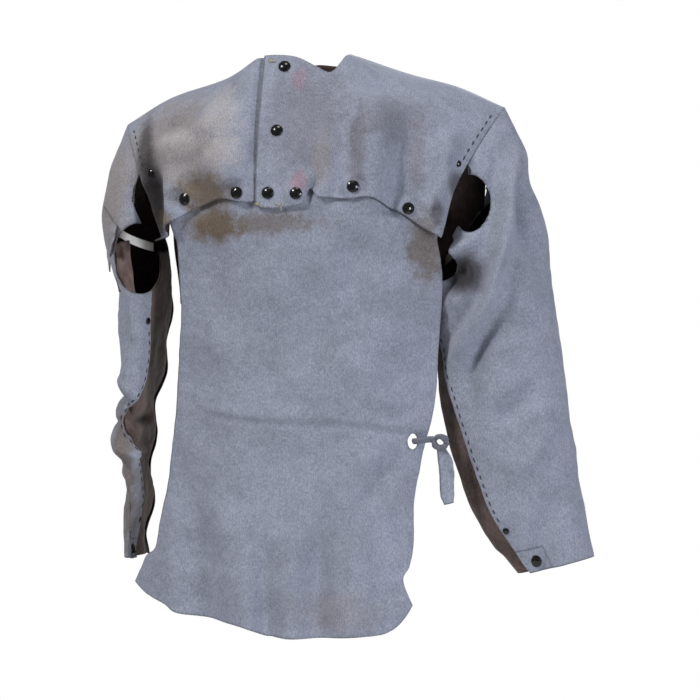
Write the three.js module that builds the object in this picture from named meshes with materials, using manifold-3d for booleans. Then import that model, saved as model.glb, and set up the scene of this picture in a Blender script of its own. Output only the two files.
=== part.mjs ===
// Leather welding cape with two sleeves and a bib snapped under its front edge, as it hangs when worn.
// Millimetres, +Z up. The front faces -Y and +X is the wearer's left.
// The origin is on the shoulder ridge, in the middle of the neck hole.

import * as THREE from "three";
import { mergeVertices } from "three/addons/utils/BufferGeometryUtils.js";
import Module from "manifold-3d";

const wasm = await Module();
wasm.setup();

const { degToRad, lerp, smoothstep, clamp } = THREE.MathUtils;

// ---------- driving dimensions ----------

const leather = 1.8; // thickness of the split leather
const seamGap = 1.2; // clearance where two panels meet edge to edge
const lapDrop = leather + 1.4; // how far a lapped edge lies under the panel that covers it
const stitchLap = 12; // width of a stitched lap, in degrees around the sleeve

const neckLeft = 62; // neck hole, out to the wearer's left
const neckRight = 80;
const shoulderLeft = 246; // shoulder tip, out to the wearer's left
const shoulderRight = 222;
const ridgeLeft = { base: 35, slope: 0.36 }; // height and fall of the shoulder ridge
const ridgeRight = { base: 28.9, slope: 0.455 };
const ridgeRound = 15; // rounding of the ridge over the neck

const chestDepth = 125; // from the ridge forward to the front of the chest
const chestSpread = shoulderLeft + 26; // half width at which the chest curve would reach the ridge
const backDepth = 92;
const backSpread = shoulderLeft + 34;
const sternumTop = -64; // the front of the neck hole
const backNeckDip = 24; // how far the neck hole dips below the ridge at the back
const sternumFoot = -172; // height where the chest is fullest

const yokeHem = -166; // lower edge of the cape in front
const hemFall = 48; // how much lower that edge is at the arm holes
const frontWidth = 176; // half width of the cape's front at its lower edge
const backHem = -290; // lower edge of the cape at the back
const backLeft = 184; // half width of the back at its lower edge, on each side
const backRight = 172;
const backArmhole = -200; // height of the back arm hole's foot

const placketEdge = -39; // free edge of the placket flap
const placketFold = 27; // fold that the flap opens about
const placketUnderlap = 40; // how far the right front reaches under the flap
const placketHem = -174;
const underlapFoot = -132; // the right front ends here under the flap, above the bib's snap strip

const bibFoot = -688; // lower edge of the bib
const bibTop = -140; // upper edge, under the cape
const bibTopHalf = 158;

const snapCap = { radius: 7.4, rim: 1.2, crown: 2.6, shank: 1.7, socket: 5.4, socketDepth: 1.6 };
const snapStud = { post: 1.7, flange: 4.8, flangeDepth: 0.6, back: 4.6, backDepth: 1.4 };
const snapHole = 2.1;
const rivetHead = { radius: 4.2, height: 1.6, shank: 1.4, back: 3.4, backHeight: 1.2 };
const rivetHole = 2;
const fitGap = 0.6; // clearance between a snap or rivet part and the leather's face
const matingGap = 0.35; // clearance between a snap's socket and the stud's flange
const snapLayer = snapCap.socketDepth + matingGap + snapStud.flangeDepth;
const snapDrop = leather + fitGap * 2 + snapLayer; // a lapped edge under a snap lies this far down

const elastic = { width: 10, thickness: 1.3 };
const tie = { width: 16, thickness: 3, knotRadius: 9, tailLength: 66 };

// ---------- finishes ----------

const suede = { color: 0x8d93a6, roughness: 0.95, metalness: 0 };
const fleshSide = { color: 0x6b5550, roughness: 0.95, metalness: 0 };
const blackEnamel = { color: 0x101012, roughness: 0.25, metalness: 0.4 };
const darkSteel = { color: 0x4a4a4e, roughness: 0.4, metalness: 0.9 };
const elasticCloth = { color: 0xd6d3cc, roughness: 0.85, metalness: 0 };

const garment = new THREE.Group();

function addPiece(name, geometry, finish) {
  geometry.computeVertexNormals();
  const mesh = new THREE.Mesh(geometry, new THREE.MeshStandardMaterial(finish));
  mesh.name = name;
  garment.add(mesh);
}

// ---------- solids from closed geometry ----------

function toSolid(geometry) {
  const bare = geometry.clone();
  bare.deleteAttribute("normal");
  bare.deleteAttribute("uv");
  const merged = mergeVertices(bare, 1e-4);
  const vertProperties = new Float32Array(merged.attributes.position.array);
  const triVerts = new Uint32Array(merged.index.array);
  return new wasm.Manifold(new wasm.Mesh({ numProp: 3, vertProperties, triVerts }));
}

function toGeometry(solid) {
  const mesh = solid.getMesh();
  const geometry = new THREE.BufferGeometry();
  geometry.setAttribute("position", new THREE.BufferAttribute(new Float32Array(mesh.vertProperties), 3));
  geometry.setIndex(new THREE.BufferAttribute(new Uint32Array(mesh.triVerts), 1));
  return geometry;
}

function cut(geometry, cutters) {
  let solid = toSolid(geometry);
  for (const cutter of cutters) solid = solid.subtract(toSolid(cutter));
  return toGeometry(solid);
}

// ---------- sheets of leather ----------

// A surface takes (u, v), each from 0 to 1, and gives a point. The face whose normal is
// along dP/du x dP/dv is the outside, or the other one when the surface is turned.
function frameAt(surface, u, v, turned) {
  const step = 1e-3;
  const here = surface(u, v);
  const alongU = surface(u + step, v).sub(surface(u - step, v));
  const alongV = surface(u, v + step).sub(surface(u, v - step));
  const normal = alongU.cross(alongV).normalize();
  if (turned) normal.negate();
  return { here, normal };
}

// A closed sheet whose outer face lies outer above the surface, which may vary with (u, v).
function sheet(surface, { cols, rows, outer = 0, thick = leather, turned = false }) {
  const geometry = new THREE.BoxGeometry(1, 1, 1, cols, rows, 1);
  const position = geometry.attributes.position;
  for (let i = 0; i < position.count; i++) {
    const u = position.getX(i) + 0.5;
    const v = position.getY(i) + 0.5;
    const { here, normal } = frameAt(surface, u, v, turned);
    const face = typeof outer === "function" ? outer(u, v) : outer;
    const moved = here.addScaledVector(normal, position.getZ(i) > 0 ? face : face - thick);
    position.setXYZ(i, moved.x, moved.y, moved.z);
  }
  if (turned) flip(geometry);
  return geometry;
}

function flip(geometry) {
  const index = geometry.index.array;
  for (let i = 0; i < index.length; i += 3) {
    [index[i + 1], index[i + 2]] = [index[i + 2], index[i + 1]];
  }
}

// ---------- the shape that the cape lies on ----------

function ridgeHeight(x) {
  const toLeft = smoothstep(x, -40, 40);
  const base = lerp(ridgeRight.base, ridgeLeft.base, toLeft);
  const slope = lerp(ridgeRight.slope, ridgeLeft.slope, toLeft);
  return base - slope * Math.hypot(x, ridgeRound);
}

// Rises from 0 at the ridge to 1 where the cape hangs straight.
function shoulderRoll(x, z, radius) {
  const fall = clamp((ridgeHeight(x) - z) / radius, 0, 1);
  return Math.sqrt(1 - (1 - fall) ** 2);
}

function chestReach(x) {
  return chestDepth * (1 - (Math.abs(x) / chestSpread) ** 2.2);
}

function frontY(x, z) {
  const overShoulder = -chestReach(x) * shoulderRoll(x, z, 150 - 0.25 * Math.abs(x));
  const fall = clamp((8 - z) / (8 - sternumFoot), -0.2, 1);
  const overSternum = lerp(chestReach(x), -sternumTop, (1 - fall) ** 1.6);
  return lerp(-overSternum, overShoulder, smoothstep(Math.abs(x), 40, 100));
}

function backY(x, z) {
  const reach = backDepth * (1 - (Math.abs(x) / backSpread) ** 2.6);
  return reach * shoulderRoll(x, z, 135 - 0.2 * Math.abs(x));
}

const frontPoint = (x, z) => new THREE.Vector3(x, frontY(x, z), z);
const backPoint = (x, z) => new THREE.Vector3(x, backY(x, z) + seamGap, z);

// ---------- edges of the cape ----------

const frontNeckline = new THREE.SplineCurve([
  new THREE.Vector2(-neckRight, ridgeHeight(-neckRight)),
  new THREE.Vector2(-58, 2),
  new THREE.Vector2(placketEdge, 10),
  new THREE.Vector2(-5, 9),
  new THREE.Vector2(24, -3),
  new THREE.Vector2(45, -10),
  new THREE.Vector2(neckLeft, ridgeHeight(neckLeft)),
]);

function heightOnCurve(curve, x) {
  let low = 0;
  let high = 1;
  for (let i = 0; i < 24; i++) {
    const middle = (low + high) / 2;
    if (curve.getPoint(middle).x < x) low = middle;
    else high = middle;
  }
  return curve.getPoint(low).y;
}

function frontTop(x) {
  const onNeck = x > -neckRight && x < neckLeft;
  return onNeck ? heightOnCurve(frontNeckline, x) : ridgeHeight(x);
}

function backTop(x) {
  if (x <= -neckRight || x >= neckLeft) return ridgeHeight(x);
  const middle = (neckLeft - neckRight) / 2;
  const half = (neckLeft + neckRight) / 2;
  const across = (x - middle) / half;
  return ridgeHeight(x) - backNeckDip * Math.sqrt(1 - across * across);
}

function frontHem(x) {
  const outward = clamp((Math.abs(x) - 85) / (frontWidth - 85), 0, 1.1);
  return yokeHem - hemFall * outward ** 1.5;
}

// Runs from the shoulder tip down to the foot of the front arm hole.
function frontArmholeX(side, v) {
  const tip = side > 0 ? shoulderLeft : shoulderRight;
  return side * (lerp(tip, frontWidth, v) - 7 * Math.sin(Math.PI * clamp(v, 0, 1)));
}

function backArmholeX(side, v) {
  const tip = side > 0 ? shoulderLeft : shoulderRight;
  const foot = (ridgeHeight(side * tip) - backArmhole) / (ridgeHeight(side * tip) - backHem);
  const down = clamp(v / foot, 0, 1);
  const width = side > 0 ? backLeft : backRight;
  return side * (lerp(tip, width + 8, down ** 0.8) - 8 * smoothstep(v, foot, 1));
}

// A front panel between two edges, each given as x at the height v.
function frontPanel(innerX, outerX, hem) {
  return (u, v) => {
    const x = lerp(innerX(v), outerX(v), u);
    const top = frontTop(lerp(innerX(0), outerX(0), u));
    const foot = hem(lerp(innerX(1), outerX(1), u));
    return frontPoint(x, lerp(top, foot, v));
  };
}

// ---------- sleeves ----------

// The arm hole loop runs from the shoulder tip (0) over the front (90) to the underarm (180)
// and back up behind (270). The sleeve leaves it and passes through the stations below it.
// Every place on a sleeve is given outward from the shoulder tip, in y, and up from the tip.
const leftSleeve = {
  side: 1,
  name: "left",
  tip: shoulderLeft,
  rim: [0, -66, -114],
  underarm: [-68, -4, -178],
  stations: [
    { at: [-34, -2, -96], halfWidth: 76, halfDepth: 66, lean: 50 },
    { at: [-25, -6, -178], halfWidth: 72, halfDepth: 66, lean: 18 },
    { at: [-12, -8, -276], halfWidth: 78, halfDepth: 54, lean: 2 },
    { at: [3, -12, -376], halfWidth: 79, halfDepth: 48, lean: 0 },
    { at: [24, -14, -471], halfWidth: 73, halfDepth: 42, lean: 4 },
    { at: [63, -16, -556], halfWidth: 49, halfDepth: 31, lean: 15 },
  ],
  turn: 0,
  seam: { top: 150, cuff: 124 },
  opening: { angle: 140, along: 0.17, size: [30, 34, 30] },
  strap: { from: 116, to: 200, along: 0.16 },
};

const rightSleeve = {
  side: -1,
  name: "right",
  tip: shoulderRight,
  rim: [-8, -82, -116],
  underarm: [-46, 4, -158],
  stations: [
    { at: [-10, 0, -78], halfWidth: 36, halfDepth: 76, lean: 62 },
    { at: [-16, 2, -160], halfWidth: 30, halfDepth: 84, lean: 10 },
    { at: [-18, 6, -258], halfWidth: 28, halfDepth: 86, lean: 0 },
    { at: [-10, 8, -358], halfWidth: 19, halfDepth: 80, lean: 0 },
    { at: [-8, 10, -453], halfWidth: 15, halfDepth: 70, lean: 0 },
    { at: [-6, 12, -534], halfWidth: 11, halfDepth: 54, lean: 4 },
  ],
  turn: 4,
  seam: { top: 122, cuff: 152 },
  opening: { angle: 96, along: 0.2, size: [21, 34, 40] },
  strap: { from: 58, to: 132, along: 0.185 },
};

function fromTip(sleeve, [outward, y, up]) {
  return new THREE.Vector3(
    sleeve.side * (sleeve.tip + outward),
    y,
    ridgeHeight(sleeve.side * sleeve.tip) + up,
  );
}

const backSeam = 232; // where the sleeve's two panels meet behind
const capShare = 0.2; // share of the sleeve over which the arm hole loop turns into a tube
const rivetShare = 0.44; // where the stitched arm hole ends, down the cape's edge

function stationValue(sleeve, key, along) {
  const last = sleeve.stations.length - 1;
  const place = Math.max(0, along) * last;
  const i = Math.min(Math.floor(place), last - 1);
  const value = (j) => sleeve.stations[clamp(j, 0, last)][key];
  const t = place - i;
  const blend = (a, b, c, d) =>
    b + 0.5 * t * (c - a + t * (2 * a - 5 * b + 4 * c - d + t * (3 * (b - c) + d - a)));
  const four = [value(i - 1), value(i), value(i + 1), value(i + 2)];
  if (key !== "at") return blend(...four);
  return fromTip(sleeve, [0, 1, 2].map((axis) => blend(...four.map((point) => point[axis]))));
}

// The tube's ring: angle 0 is outward, 90 is to the front. Flat ends keep a round edge.
function ringPoint(sleeve, angle, along) {
  const turned = degToRad(angle);
  const width = stationValue(sleeve, "halfWidth", along);
  const depth = stationValue(sleeve, "halfDepth", along);
  const lean = degToRad(stationValue(sleeve, "lean", along));
  const cosine = Math.cos(turned);
  const blunt = width < depth ? 0.62 : 1;
  const outward = width * Math.sign(cosine) * Math.abs(cosine) ** blunt;
  const local = new THREE.Vector3(
    sleeve.side * outward * Math.cos(lean),
    -depth * Math.sin(turned),
    outward * Math.sin(lean),
  );
  const swing = degToRad(sleeve.turn * smoothstep(along, 0, 0.4));
  local.applyAxisAngle(new THREE.Vector3(0, 0, 1), swing);
  return local.add(stationValue(sleeve, "at", along));
}

function edgeOfFront(side, v) {
  const x = frontArmholeX(side, v);
  const top = frontTop(frontArmholeX(side, 0));
  return frontPoint(x, lerp(top, frontHem(frontArmholeX(side, 1)), v));
}

function edgeOfBack(side, v) {
  const x = backArmholeX(side, v);
  return backPoint(x, lerp(backTop(backArmholeX(side, 0)), backHem, v));
}

function armholePoint(sleeve, angle) {
  const loop = ((angle % 360) + 360) % 360;
  const behind = loop > 180;
  const down = (behind ? 360 - loop : loop) / 90;
  const edge = behind ? edgeOfBack : edgeOfFront;
  const share = behind ? rivetShare * 0.75 : rivetShare;
  if (down <= 1) return edge(sleeve.side, share * down);
  const rivet = edge(sleeve.side, share);
  const rim = fromTip(sleeve, sleeve.rim);
  if (behind) rim.y *= -1;
  const underarm = fromTip(sleeve, sleeve.underarm);
  return new THREE.QuadraticBezierCurve3(rivet, rim, underarm).getPoint(down - 1);
}

// Starts seamGap outside the arm hole so that the sleeve clears the cape.
function sleevePoint(sleeve, angle, along) {
  const ring = ringPoint(sleeve, angle, along);
  const loose = smoothstep(along, 0, capShare);
  if (loose >= 1) return ring;
  const edge = armholePoint(sleeve, angle);
  edge.x += sleeve.side * seamGap * 2;
  edge.z -= seamGap * 0.5;
  return edge.lerp(ring, loose);
}

// Where the front seam runs at each place along the sleeve.
function seamAngle(sleeve, along) {
  return lerp(sleeve.seam.top, sleeve.seam.cuff, smoothstep(along, 0.25, 0.85));
}

// The angles are functions of the place along the sleeve.
function sleevePatch(sleeve, fromAngle, toAngle, fromAlong, toAlong) {
  return (u, v) => {
    const along = lerp(fromAlong, toAlong, v);
    return sleevePoint(sleeve, lerp(fromAngle(along), toAngle(along), u), along);
  };
}

// ---------- snaps and rivets ----------

// Places a lathe-turned part with its axis along a normal.
function standOn(geometry, { here, normal }) {
  const turn = new THREE.Quaternion().setFromUnitVectors(new THREE.Vector3(0, 1, 0), normal);
  geometry.applyQuaternion(turn);
  geometry.translate(here.x, here.y, here.z);
  return geometry;
}

function turnedPart(profile, segments = 10) {
  const points = profile.map(([radius, height]) => new THREE.Vector2(radius, height));
  return new THREE.LatheGeometry(points, segments);
}

// Cap above the outer leather and its socket below, with a recess for the stud.
function capProfile() {
  const under = fitGap;
  const below = -leather - fitGap;
  const foot = below - snapCap.socketDepth;
  const recess = snapStud.post + 0.5;
  return [
    [0, foot + 1.1],
    [recess, foot + 1.1],
    [recess, foot],
    [snapCap.socket, foot],
    [snapCap.socket, below],
    [snapCap.shank, below],
    [snapCap.shank, under],
    [snapCap.radius, under],
    [snapCap.radius, under + snapCap.rim * 0.5],
    [snapCap.radius * 0.78, under + snapCap.rim + snapCap.crown * 0.35],
    [snapCap.radius * 0.4, under + snapCap.rim + snapCap.crown * 0.62],
    [0, under + snapCap.rim + snapCap.crown * 0.72],
  ];
}

// Stud whose post enters the socket, riveted through the under leather.
function studProfile() {
  const socketFoot = -leather - fitGap - snapCap.socketDepth;
  const flangeTop = socketFoot - matingGap;
  const flangeFoot = flangeTop - snapStud.flangeDepth;
  const backTop = -snapDrop - leather - fitGap;
  return [
    [0, backTop - snapStud.backDepth],
    [snapStud.back, backTop - snapStud.backDepth],
    [snapStud.back, backTop],
    [snapCap.shank, backTop],
    [snapCap.shank, flangeFoot],
    [snapStud.flange, flangeFoot],
    [snapStud.flange, flangeTop],
    [snapStud.post, flangeTop],
    [snapStud.post, socketFoot + 0.8],
    [0, socketFoot + 0.8],
  ];
}

function rivetProfile(depth) {
  const top = fitGap * 1.5;
  const foot = -depth - top;
  return [
    [0, foot - rivetHead.backHeight],
    [rivetHead.back, foot - rivetHead.backHeight],
    [rivetHead.back, foot],
    [rivetHead.shank, foot],
    [rivetHead.shank, top],
    [rivetHead.radius, top],
    [rivetHead.radius * 0.86, top + rivetHead.height * 0.7],
    [0, top + rivetHead.height],
  ];
}

function punch(radius, spot) {
  return standOn(new THREE.CylinderGeometry(radius, radius, 30, 10), spot);
}

function addSnap(name, spot) {
  addPiece(`${name}_cap`, standOn(turnedPart(capProfile()), spot), blackEnamel);
  addPiece(`${name}_stud`, standOn(turnedPart(studProfile()), spot), darkSteel);
}

function addRivet(name, spot, depth = leather) {
  addPiece(name, standOn(turnedPart(rivetProfile(depth), 8), spot), blackEnamel);
}

// A point on the cape's front at x and z, with its outward normal.
function spotOnFront(x, z) {
  return frameAt((u, v) => frontPoint(x + u * 100, z - v * 100), 0, 0, true);
}

function spotOnBack(x, z) {
  return frameAt((u, v) => backPoint(x + u * 100, z - v * 100), 0, 0, false);
}

function spotOnSleeve(sleeve, angle, along) {
  const surface = (u, v) => sleevePoint(sleeve, angle + u * 100, along + v);
  return frameAt(surface, 0, 0, sleeve.side < 0);
}

// ---------- the cape ----------

const placketSnaps = [
  { name: "placket_top_snap", x: -13, z: -4 },
  { name: "placket_middle_snap", x: -16, z: -82 },
];
const hemSnaps = [
  { name: "hem_snap_1", x: -130, z: -164, on: "right" },
  { name: "hem_snap_2", x: -62, z: -157, on: "right" },
  { name: "hem_snap_3", x: -24, z: -157, on: "flap" },
  { name: "hem_snap_4", x: 11, z: -158, on: "flap" },
  { name: "hem_snap_5", x: 79, z: -150, on: "left" },
  { name: "hem_snap_6", x: 143, z: -176, on: "left" },
];
for (const snap of [...placketSnaps, ...hemSnaps]) snap.spot = spotOnFront(snap.x, snap.z);

function punchesFor(panel) {
  const ownHem = hemSnaps.filter((snap) => snap.on === panel);
  const own = panel === "flap" ? [...placketSnaps, ...ownHem] : ownHem;
  return own.map((snap) => punch(snapHole, snap.spot));
}

function armholeSpot(side, front) {
  const share = front ? rivetShare : rivetShare * 0.75;
  const edge = front ? edgeOfFront(side, share) : edgeOfBack(side, share);
  const x = edge.x - side * 11;
  return front ? spotOnFront(x, edge.z + 2) : spotOnBack(x, edge.z + 2);
}

function makeCape() {
  // The right front drops one layer at the flap's edge and goes on under it, down to the bib's strip.
  const frontLength = ridgeHeight(placketEdge) - yokeHem;
  const underlapShare = (ridgeHeight(placketEdge) - underlapFoot) / frontLength;
  const pastUnderlap = (v) => smoothstep(v, underlapShare - 0.1, underlapShare);
  const rightFront = frontPanel(
    (v) => lerp(placketEdge + placketUnderlap, placketEdge - seamGap, pastUnderlap(v)),
    (v) => frontArmholeX(-1, v),
    frontHem,
  );
  const dropAt = (u, v) => {
    const deepest = lerp(snapDrop, leather + fitGap * 2, pastUnderlap(v));
    return -deepest * smoothstep(rightFront(u, v).x, placketEdge - 18, placketEdge - 5);
  };
  const rightPunches = [...punchesFor("right"), punch(rivetHole, armholeSpot(-1, true))];
  rightPunches.push(...placketSnaps.map((snap) => punch(snapHole, snap.spot)));
  addPiece(
    "right_front",
    cut(sheet(rightFront, { cols: 16, rows: 10, outer: dropAt }), rightPunches),
    suede,
  );

  const flapFoot = (x) => placketHem + 12 * smoothstep(x, placketFold - 14, placketFold + 2);
  const flap = frontPanel(
    () => placketEdge,
    () => placketFold,
    flapFoot,
  );
  addPiece(
    "placket_flap",
    cut(sheet(flap, { cols: 6, rows: 11, turned: true }), punchesFor("flap")),
    suede,
  );

  const leftFront = frontPanel(
    () => placketFold + seamGap,
    (v) => frontArmholeX(1, v),
    frontHem,
  );
  const leftRivet = punch(rivetHole, armholeSpot(1, true));
  addPiece(
    "left_front",
    cut(sheet(leftFront, { cols: 12, rows: 10, turned: true }), [...punchesFor("left"), leftRivet]),
    suede,
  );

  const back = (u, v) => {
    const x = lerp(backArmholeX(-1, v), backArmholeX(1, v), u);
    const top = backTop(lerp(backArmholeX(-1, 0), backArmholeX(1, 0), u));
    return backPoint(x, lerp(top, backHem, v));
  };
  const backRivets = [1, -1].map((side) => punch(rivetHole, armholeSpot(side, false)));
  addPiece("cape_back", cut(sheet(back, { cols: 18, rows: 10 }), backRivets), suede);

  for (const sleeve of [leftSleeve, rightSleeve]) {
    addRivet(`${sleeve.name}_armhole_rivet_front`, armholeSpot(sleeve.side, true));
    addRivet(`${sleeve.name}_armhole_rivet_back`, armholeSpot(sleeve.side, false));
  }
}

// ---------- the bib ----------

const bibEdges = {
  right: new THREE.SplineCurve([
    new THREE.Vector2(bibTop, 8 - bibTopHalf),
    new THREE.Vector2(-260, -143),
    new THREE.Vector2(-394, -146),
    new THREE.Vector2(-500, -161),
    new THREE.Vector2(-590, -176),
    new THREE.Vector2(bibFoot + 50, -203),
    new THREE.Vector2(bibFoot, -178),
  ]),
  left: new THREE.SplineCurve([
    new THREE.Vector2(bibTop, bibTopHalf),
    new THREE.Vector2(-240, 180),
    new THREE.Vector2(-324, 178),
    new THREE.Vector2(-470, 158),
    new THREE.Vector2(-618, 138),
    new THREE.Vector2(bibFoot, 126),
  ]),
};

function bibEdgeX(edge, z) {
  let low = 0;
  let high = 1;
  for (let i = 0; i < 24; i++) {
    const middle = (low + high) / 2;
    if (edge.getPoint(middle).x > z) low = middle;
    else high = middle;
  }
  return edge.getPoint(low).y;
}

function bibY(x, z) {
  const hang = clamp((-180 - z) / (-180 - bibFoot), 0, 1);
  const fallIn = 16 * Math.sin(Math.PI * hang) - 8 * hang;
  const folds = 3 * hang * Math.sin(x / 24 + 0.6);
  return frontY(x, Math.min(z, sternumFoot)) * lerp(1, 0.97, hang) + fallIn + folds;
}

const bibPoint = (x, z) => new THREE.Vector3(x, z > sternumFoot ? frontY(x, z) : bibY(x, z), z);

function bibSurface(topHeight, footHeight) {
  return (u, v) => {
    const middle = lerp(topHeight(0), footHeight(0), v);
    const x = lerp(bibEdgeX(bibEdges.right, middle), bibEdgeX(bibEdges.left, middle), u);
    const z = lerp(topHeight(x), footHeight(x), v);
    return bibPoint(x, z);
  };
}

const bibFold = (x) => Math.min(placketHem, frontHem(x)) - 7;
const bibRoundedFoot = (x) => bibFoot + 30 * clamp((Math.abs(x + 36) - 90) / 110, 0, 1.2) ** 2;

const knotHeight = -456;

function makeBib() {
  const strip = bibSurface(
    () => bibTop,
    (x) => bibFold(x) + seamGap * 2,
  );
  const studPunches = hemSnaps.map((snap) => punch(snapHole, snap.spot));
  addPiece(
    "bib_snap_strip",
    cut(sheet(strip, { cols: 20, rows: 3, outer: -snapDrop, turned: true }), studPunches),
    suede,
  );

  const hanging = bibSurface(bibFold, bibRoundedFoot);
  const edge = bibEdgeX(bibEdges.left, knotHeight);
  const hole = frameAt((u, v) => bibPoint(edge - 16 + u * 100, knotHeight - v * 100), 0, 0, true);
  addPiece(
    "bib_panel",
    cut(sheet(hanging, { cols: 16, rows: 14, outer: -snapDrop, turned: true }), [punch(7, hole)]),
    suede,
  );
  return { edge, hole };
}

// The tie goes through the bib's hole, is knotted just outside the edge, and its tail hangs.
function makeTie({ edge, hole }) {
  const behind = hole.here.clone().addScaledVector(hole.normal, -snapDrop - leather - 5);
  const front = hole.here.clone().addScaledVector(hole.normal, -snapDrop + 6.5);
  const knot = new THREE.Vector3(edge + 15, front.y + 16, knotHeight);

  const stopper = new THREE.SphereGeometry(1, 10, 6).scale(9, 3.6, 8);
  stopper.translate(behind.x, behind.y, behind.z);
  const ball = new THREE.SphereGeometry(tie.knotRadius, 10, 8).scale(1, 0.8, 1);
  ball.translate(knot.x, knot.y, knot.z);
  const through = strand([behind, front], tie.thickness * 1.4);
  const across = strand([front, knot], tie.thickness * 0.8);
  const solid = [stopper, ball, through, across].map(toSolid).reduce((all, next) => all.add(next));
  addPiece("waist_tie_knot", toGeometry(solid), suede);

  const top = new THREE.Vector3(knot.x, knot.y, knot.z - tie.knotRadius - seamGap);
  const tail = (u, v) => {
    const across = (u - 0.5) * tie.width * (1 - 0.3 * smoothstep(v, 0.8, 1));
    return new THREE.Vector3(top.x + across + 14 * v, top.y - 4 * v * v, top.z - v * tie.tailLength);
  };
  addPiece("waist_tie_tail", sheet(tail, { cols: 2, rows: 8, turned: true }), suede);
}

// A short round strand of the rolled-up tie between two points.
function strand([from, to], radius) {
  const rod = new THREE.CylinderGeometry(radius, radius, from.distanceTo(to), 8);
  const turn = new THREE.Quaternion().setFromUnitVectors(
    new THREE.Vector3(0, 1, 0),
    to.clone().sub(from).normalize(),
  );
  const middle = from.clone().add(to).multiplyScalar(0.5);
  return rod.applyQuaternion(turn).translate(middle.x, middle.y, middle.z);
}

// ---------- the sleeves ----------

const cuffFlap = { along: 0.925, reach: 36 };
const underFoot = 0.996; // the under panel ends just inside the cuff

// An egg-shaped cutter that opens the underarm.
function underarmCutter(sleeve) {
  const { angle, along, size } = sleeve.opening;
  const egg = new THREE.SphereGeometry(1, 16, 12);
  egg.scale(...size);
  const centre = sleevePoint(sleeve, angle, along);
  return egg.translate(centre.x, centre.y, centre.z);
}

function makeStrap(sleeve) {
  const { from, to, along } = sleeve.strap;
  const ends = [from, to].map((angle) => {
    const { here, normal } = spotOnSleeve(sleeve, angle, along);
    return here.addScaledVector(normal, -leather * 2 - lapDrop - elastic.thickness - 1);
  });
  const run = (u, v) => {
    const point = ends[0].clone().lerp(ends[1], u);
    point.z += (0.5 - v) * elastic.width;
    return point;
  };
  const band = sheet(run, {
    cols: 4,
    rows: 1,
    outer: 0,
    thick: elastic.thickness,
    turned: sleeve.side < 0,
  });
  addPiece(`${sleeve.name}_underarm_elastic`, band, elasticCloth);
}

function makeSleeve(sleeve) {
  const { name, side } = sleeve;
  const turned = side < 0;
  const front = (along) => seamAngle(sleeve, along);
  const flapPatch = (grow) =>
    sleevePatch(
      sleeve,
      (along) => front(along) - cuffFlap.reach - grow * 1.5,
      (along) => front(along) + grow * 3,
      cuffFlap.along - grow * 0.0025,
      1 + grow * 0.01,
    );
  const flapCut = sheet(flapPatch(1), { cols: 6, rows: 4, outer: 1.5, thick: 5, turned });
  const rivetAlongs = [sleeve.opening.along + 0.16, 0.875];
  const rivetSpots = rivetAlongs.map((along) => spotOnSleeve(sleeve, front(along) - 6, along));
  const rivetPunches = rivetSpots.map((spot) => punch(rivetHole, spot));
  const opening = underarmCutter(sleeve);

  const around = sleevePatch(sleeve, front, () => backSeam - 360, 0, 1);
  const upper = sheet(around, { cols: 20, rows: 16, turned: !turned });
  addPiece(`${name}_sleeve_upper`, cut(upper, [opening, flapCut, ...rivetPunches]), suede);

  // The under panel's front edge lies under the upper panel, and further under at the cuff.
  const toCuff = (along) => smoothstep(along, cuffFlap.along - 0.015, cuffFlap.along + 0.015);
  const lapEdge = (along) => front(along) - lerp(stitchLap, cuffFlap.reach - 4, toCuff(along));
  const underTop = sleeve.opening.along - 0.03;
  const beneath = sleevePatch(sleeve, lapEdge, () => backSeam - 1.5, underTop, underFoot);
  const layer = (u, v) => -lerp(lapDrop, snapDrop, toCuff(lerp(underTop, underFoot, v)));
  const under = sheet(beneath, { cols: 8, rows: 16, outer: layer, turned });
  const cuffSpot = spotOnSleeve(sleeve, front(1) - cuffFlap.reach / 2, (cuffFlap.along + 1) / 2);
  const cuffPunch = punch(snapHole, cuffSpot);
  addPiece(`${name}_sleeve_under`, cut(under, [opening, cuffPunch, ...rivetPunches]), fleshSide);
  rivetSpots.forEach((spot, i) => addRivet(`${name}_seam_rivet_${i + 1}`, spot, lapDrop + leather));

  const flap = sheet(flapPatch(0), { cols: 5, rows: 4, turned });
  addPiece(`${name}_cuff_flap`, cut(flap, [cuffPunch]), suede);
  addSnap(`${name}_cuff_snap`, cuffSpot);
  makeStrap(sleeve);
}

makeCape();
makeTie(makeBib());
for (const snap of placketSnaps.concat(hemSnaps)) addSnap(snap.name, snap.spot);
makeSleeve(leftSleeve);
makeSleeve(rightSleeve);

export default garment;
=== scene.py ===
import math
import bmesh
import bpy
import numpy as np
from mathutils import Matrix, Vector


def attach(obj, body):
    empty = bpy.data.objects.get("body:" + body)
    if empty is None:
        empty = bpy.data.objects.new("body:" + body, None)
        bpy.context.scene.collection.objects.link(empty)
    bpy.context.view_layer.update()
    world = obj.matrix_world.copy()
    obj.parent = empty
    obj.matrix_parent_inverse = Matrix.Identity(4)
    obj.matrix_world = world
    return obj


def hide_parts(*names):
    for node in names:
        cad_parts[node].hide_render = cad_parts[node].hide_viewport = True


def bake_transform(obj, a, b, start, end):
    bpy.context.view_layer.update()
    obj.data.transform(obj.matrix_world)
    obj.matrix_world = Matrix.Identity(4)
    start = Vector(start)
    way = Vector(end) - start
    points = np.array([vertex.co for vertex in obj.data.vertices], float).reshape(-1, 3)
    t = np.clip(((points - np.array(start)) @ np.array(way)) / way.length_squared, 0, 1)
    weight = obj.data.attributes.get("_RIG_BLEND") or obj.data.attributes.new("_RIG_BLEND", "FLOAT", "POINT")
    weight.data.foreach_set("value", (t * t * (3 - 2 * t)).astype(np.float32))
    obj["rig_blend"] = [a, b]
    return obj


# Leather welding cape with two sleeves and a bib snapped under its edge, in metres. The front faces -Y,
# +X is the wearer's left, and the origin is on the shoulder ridge in the neck hole.

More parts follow.
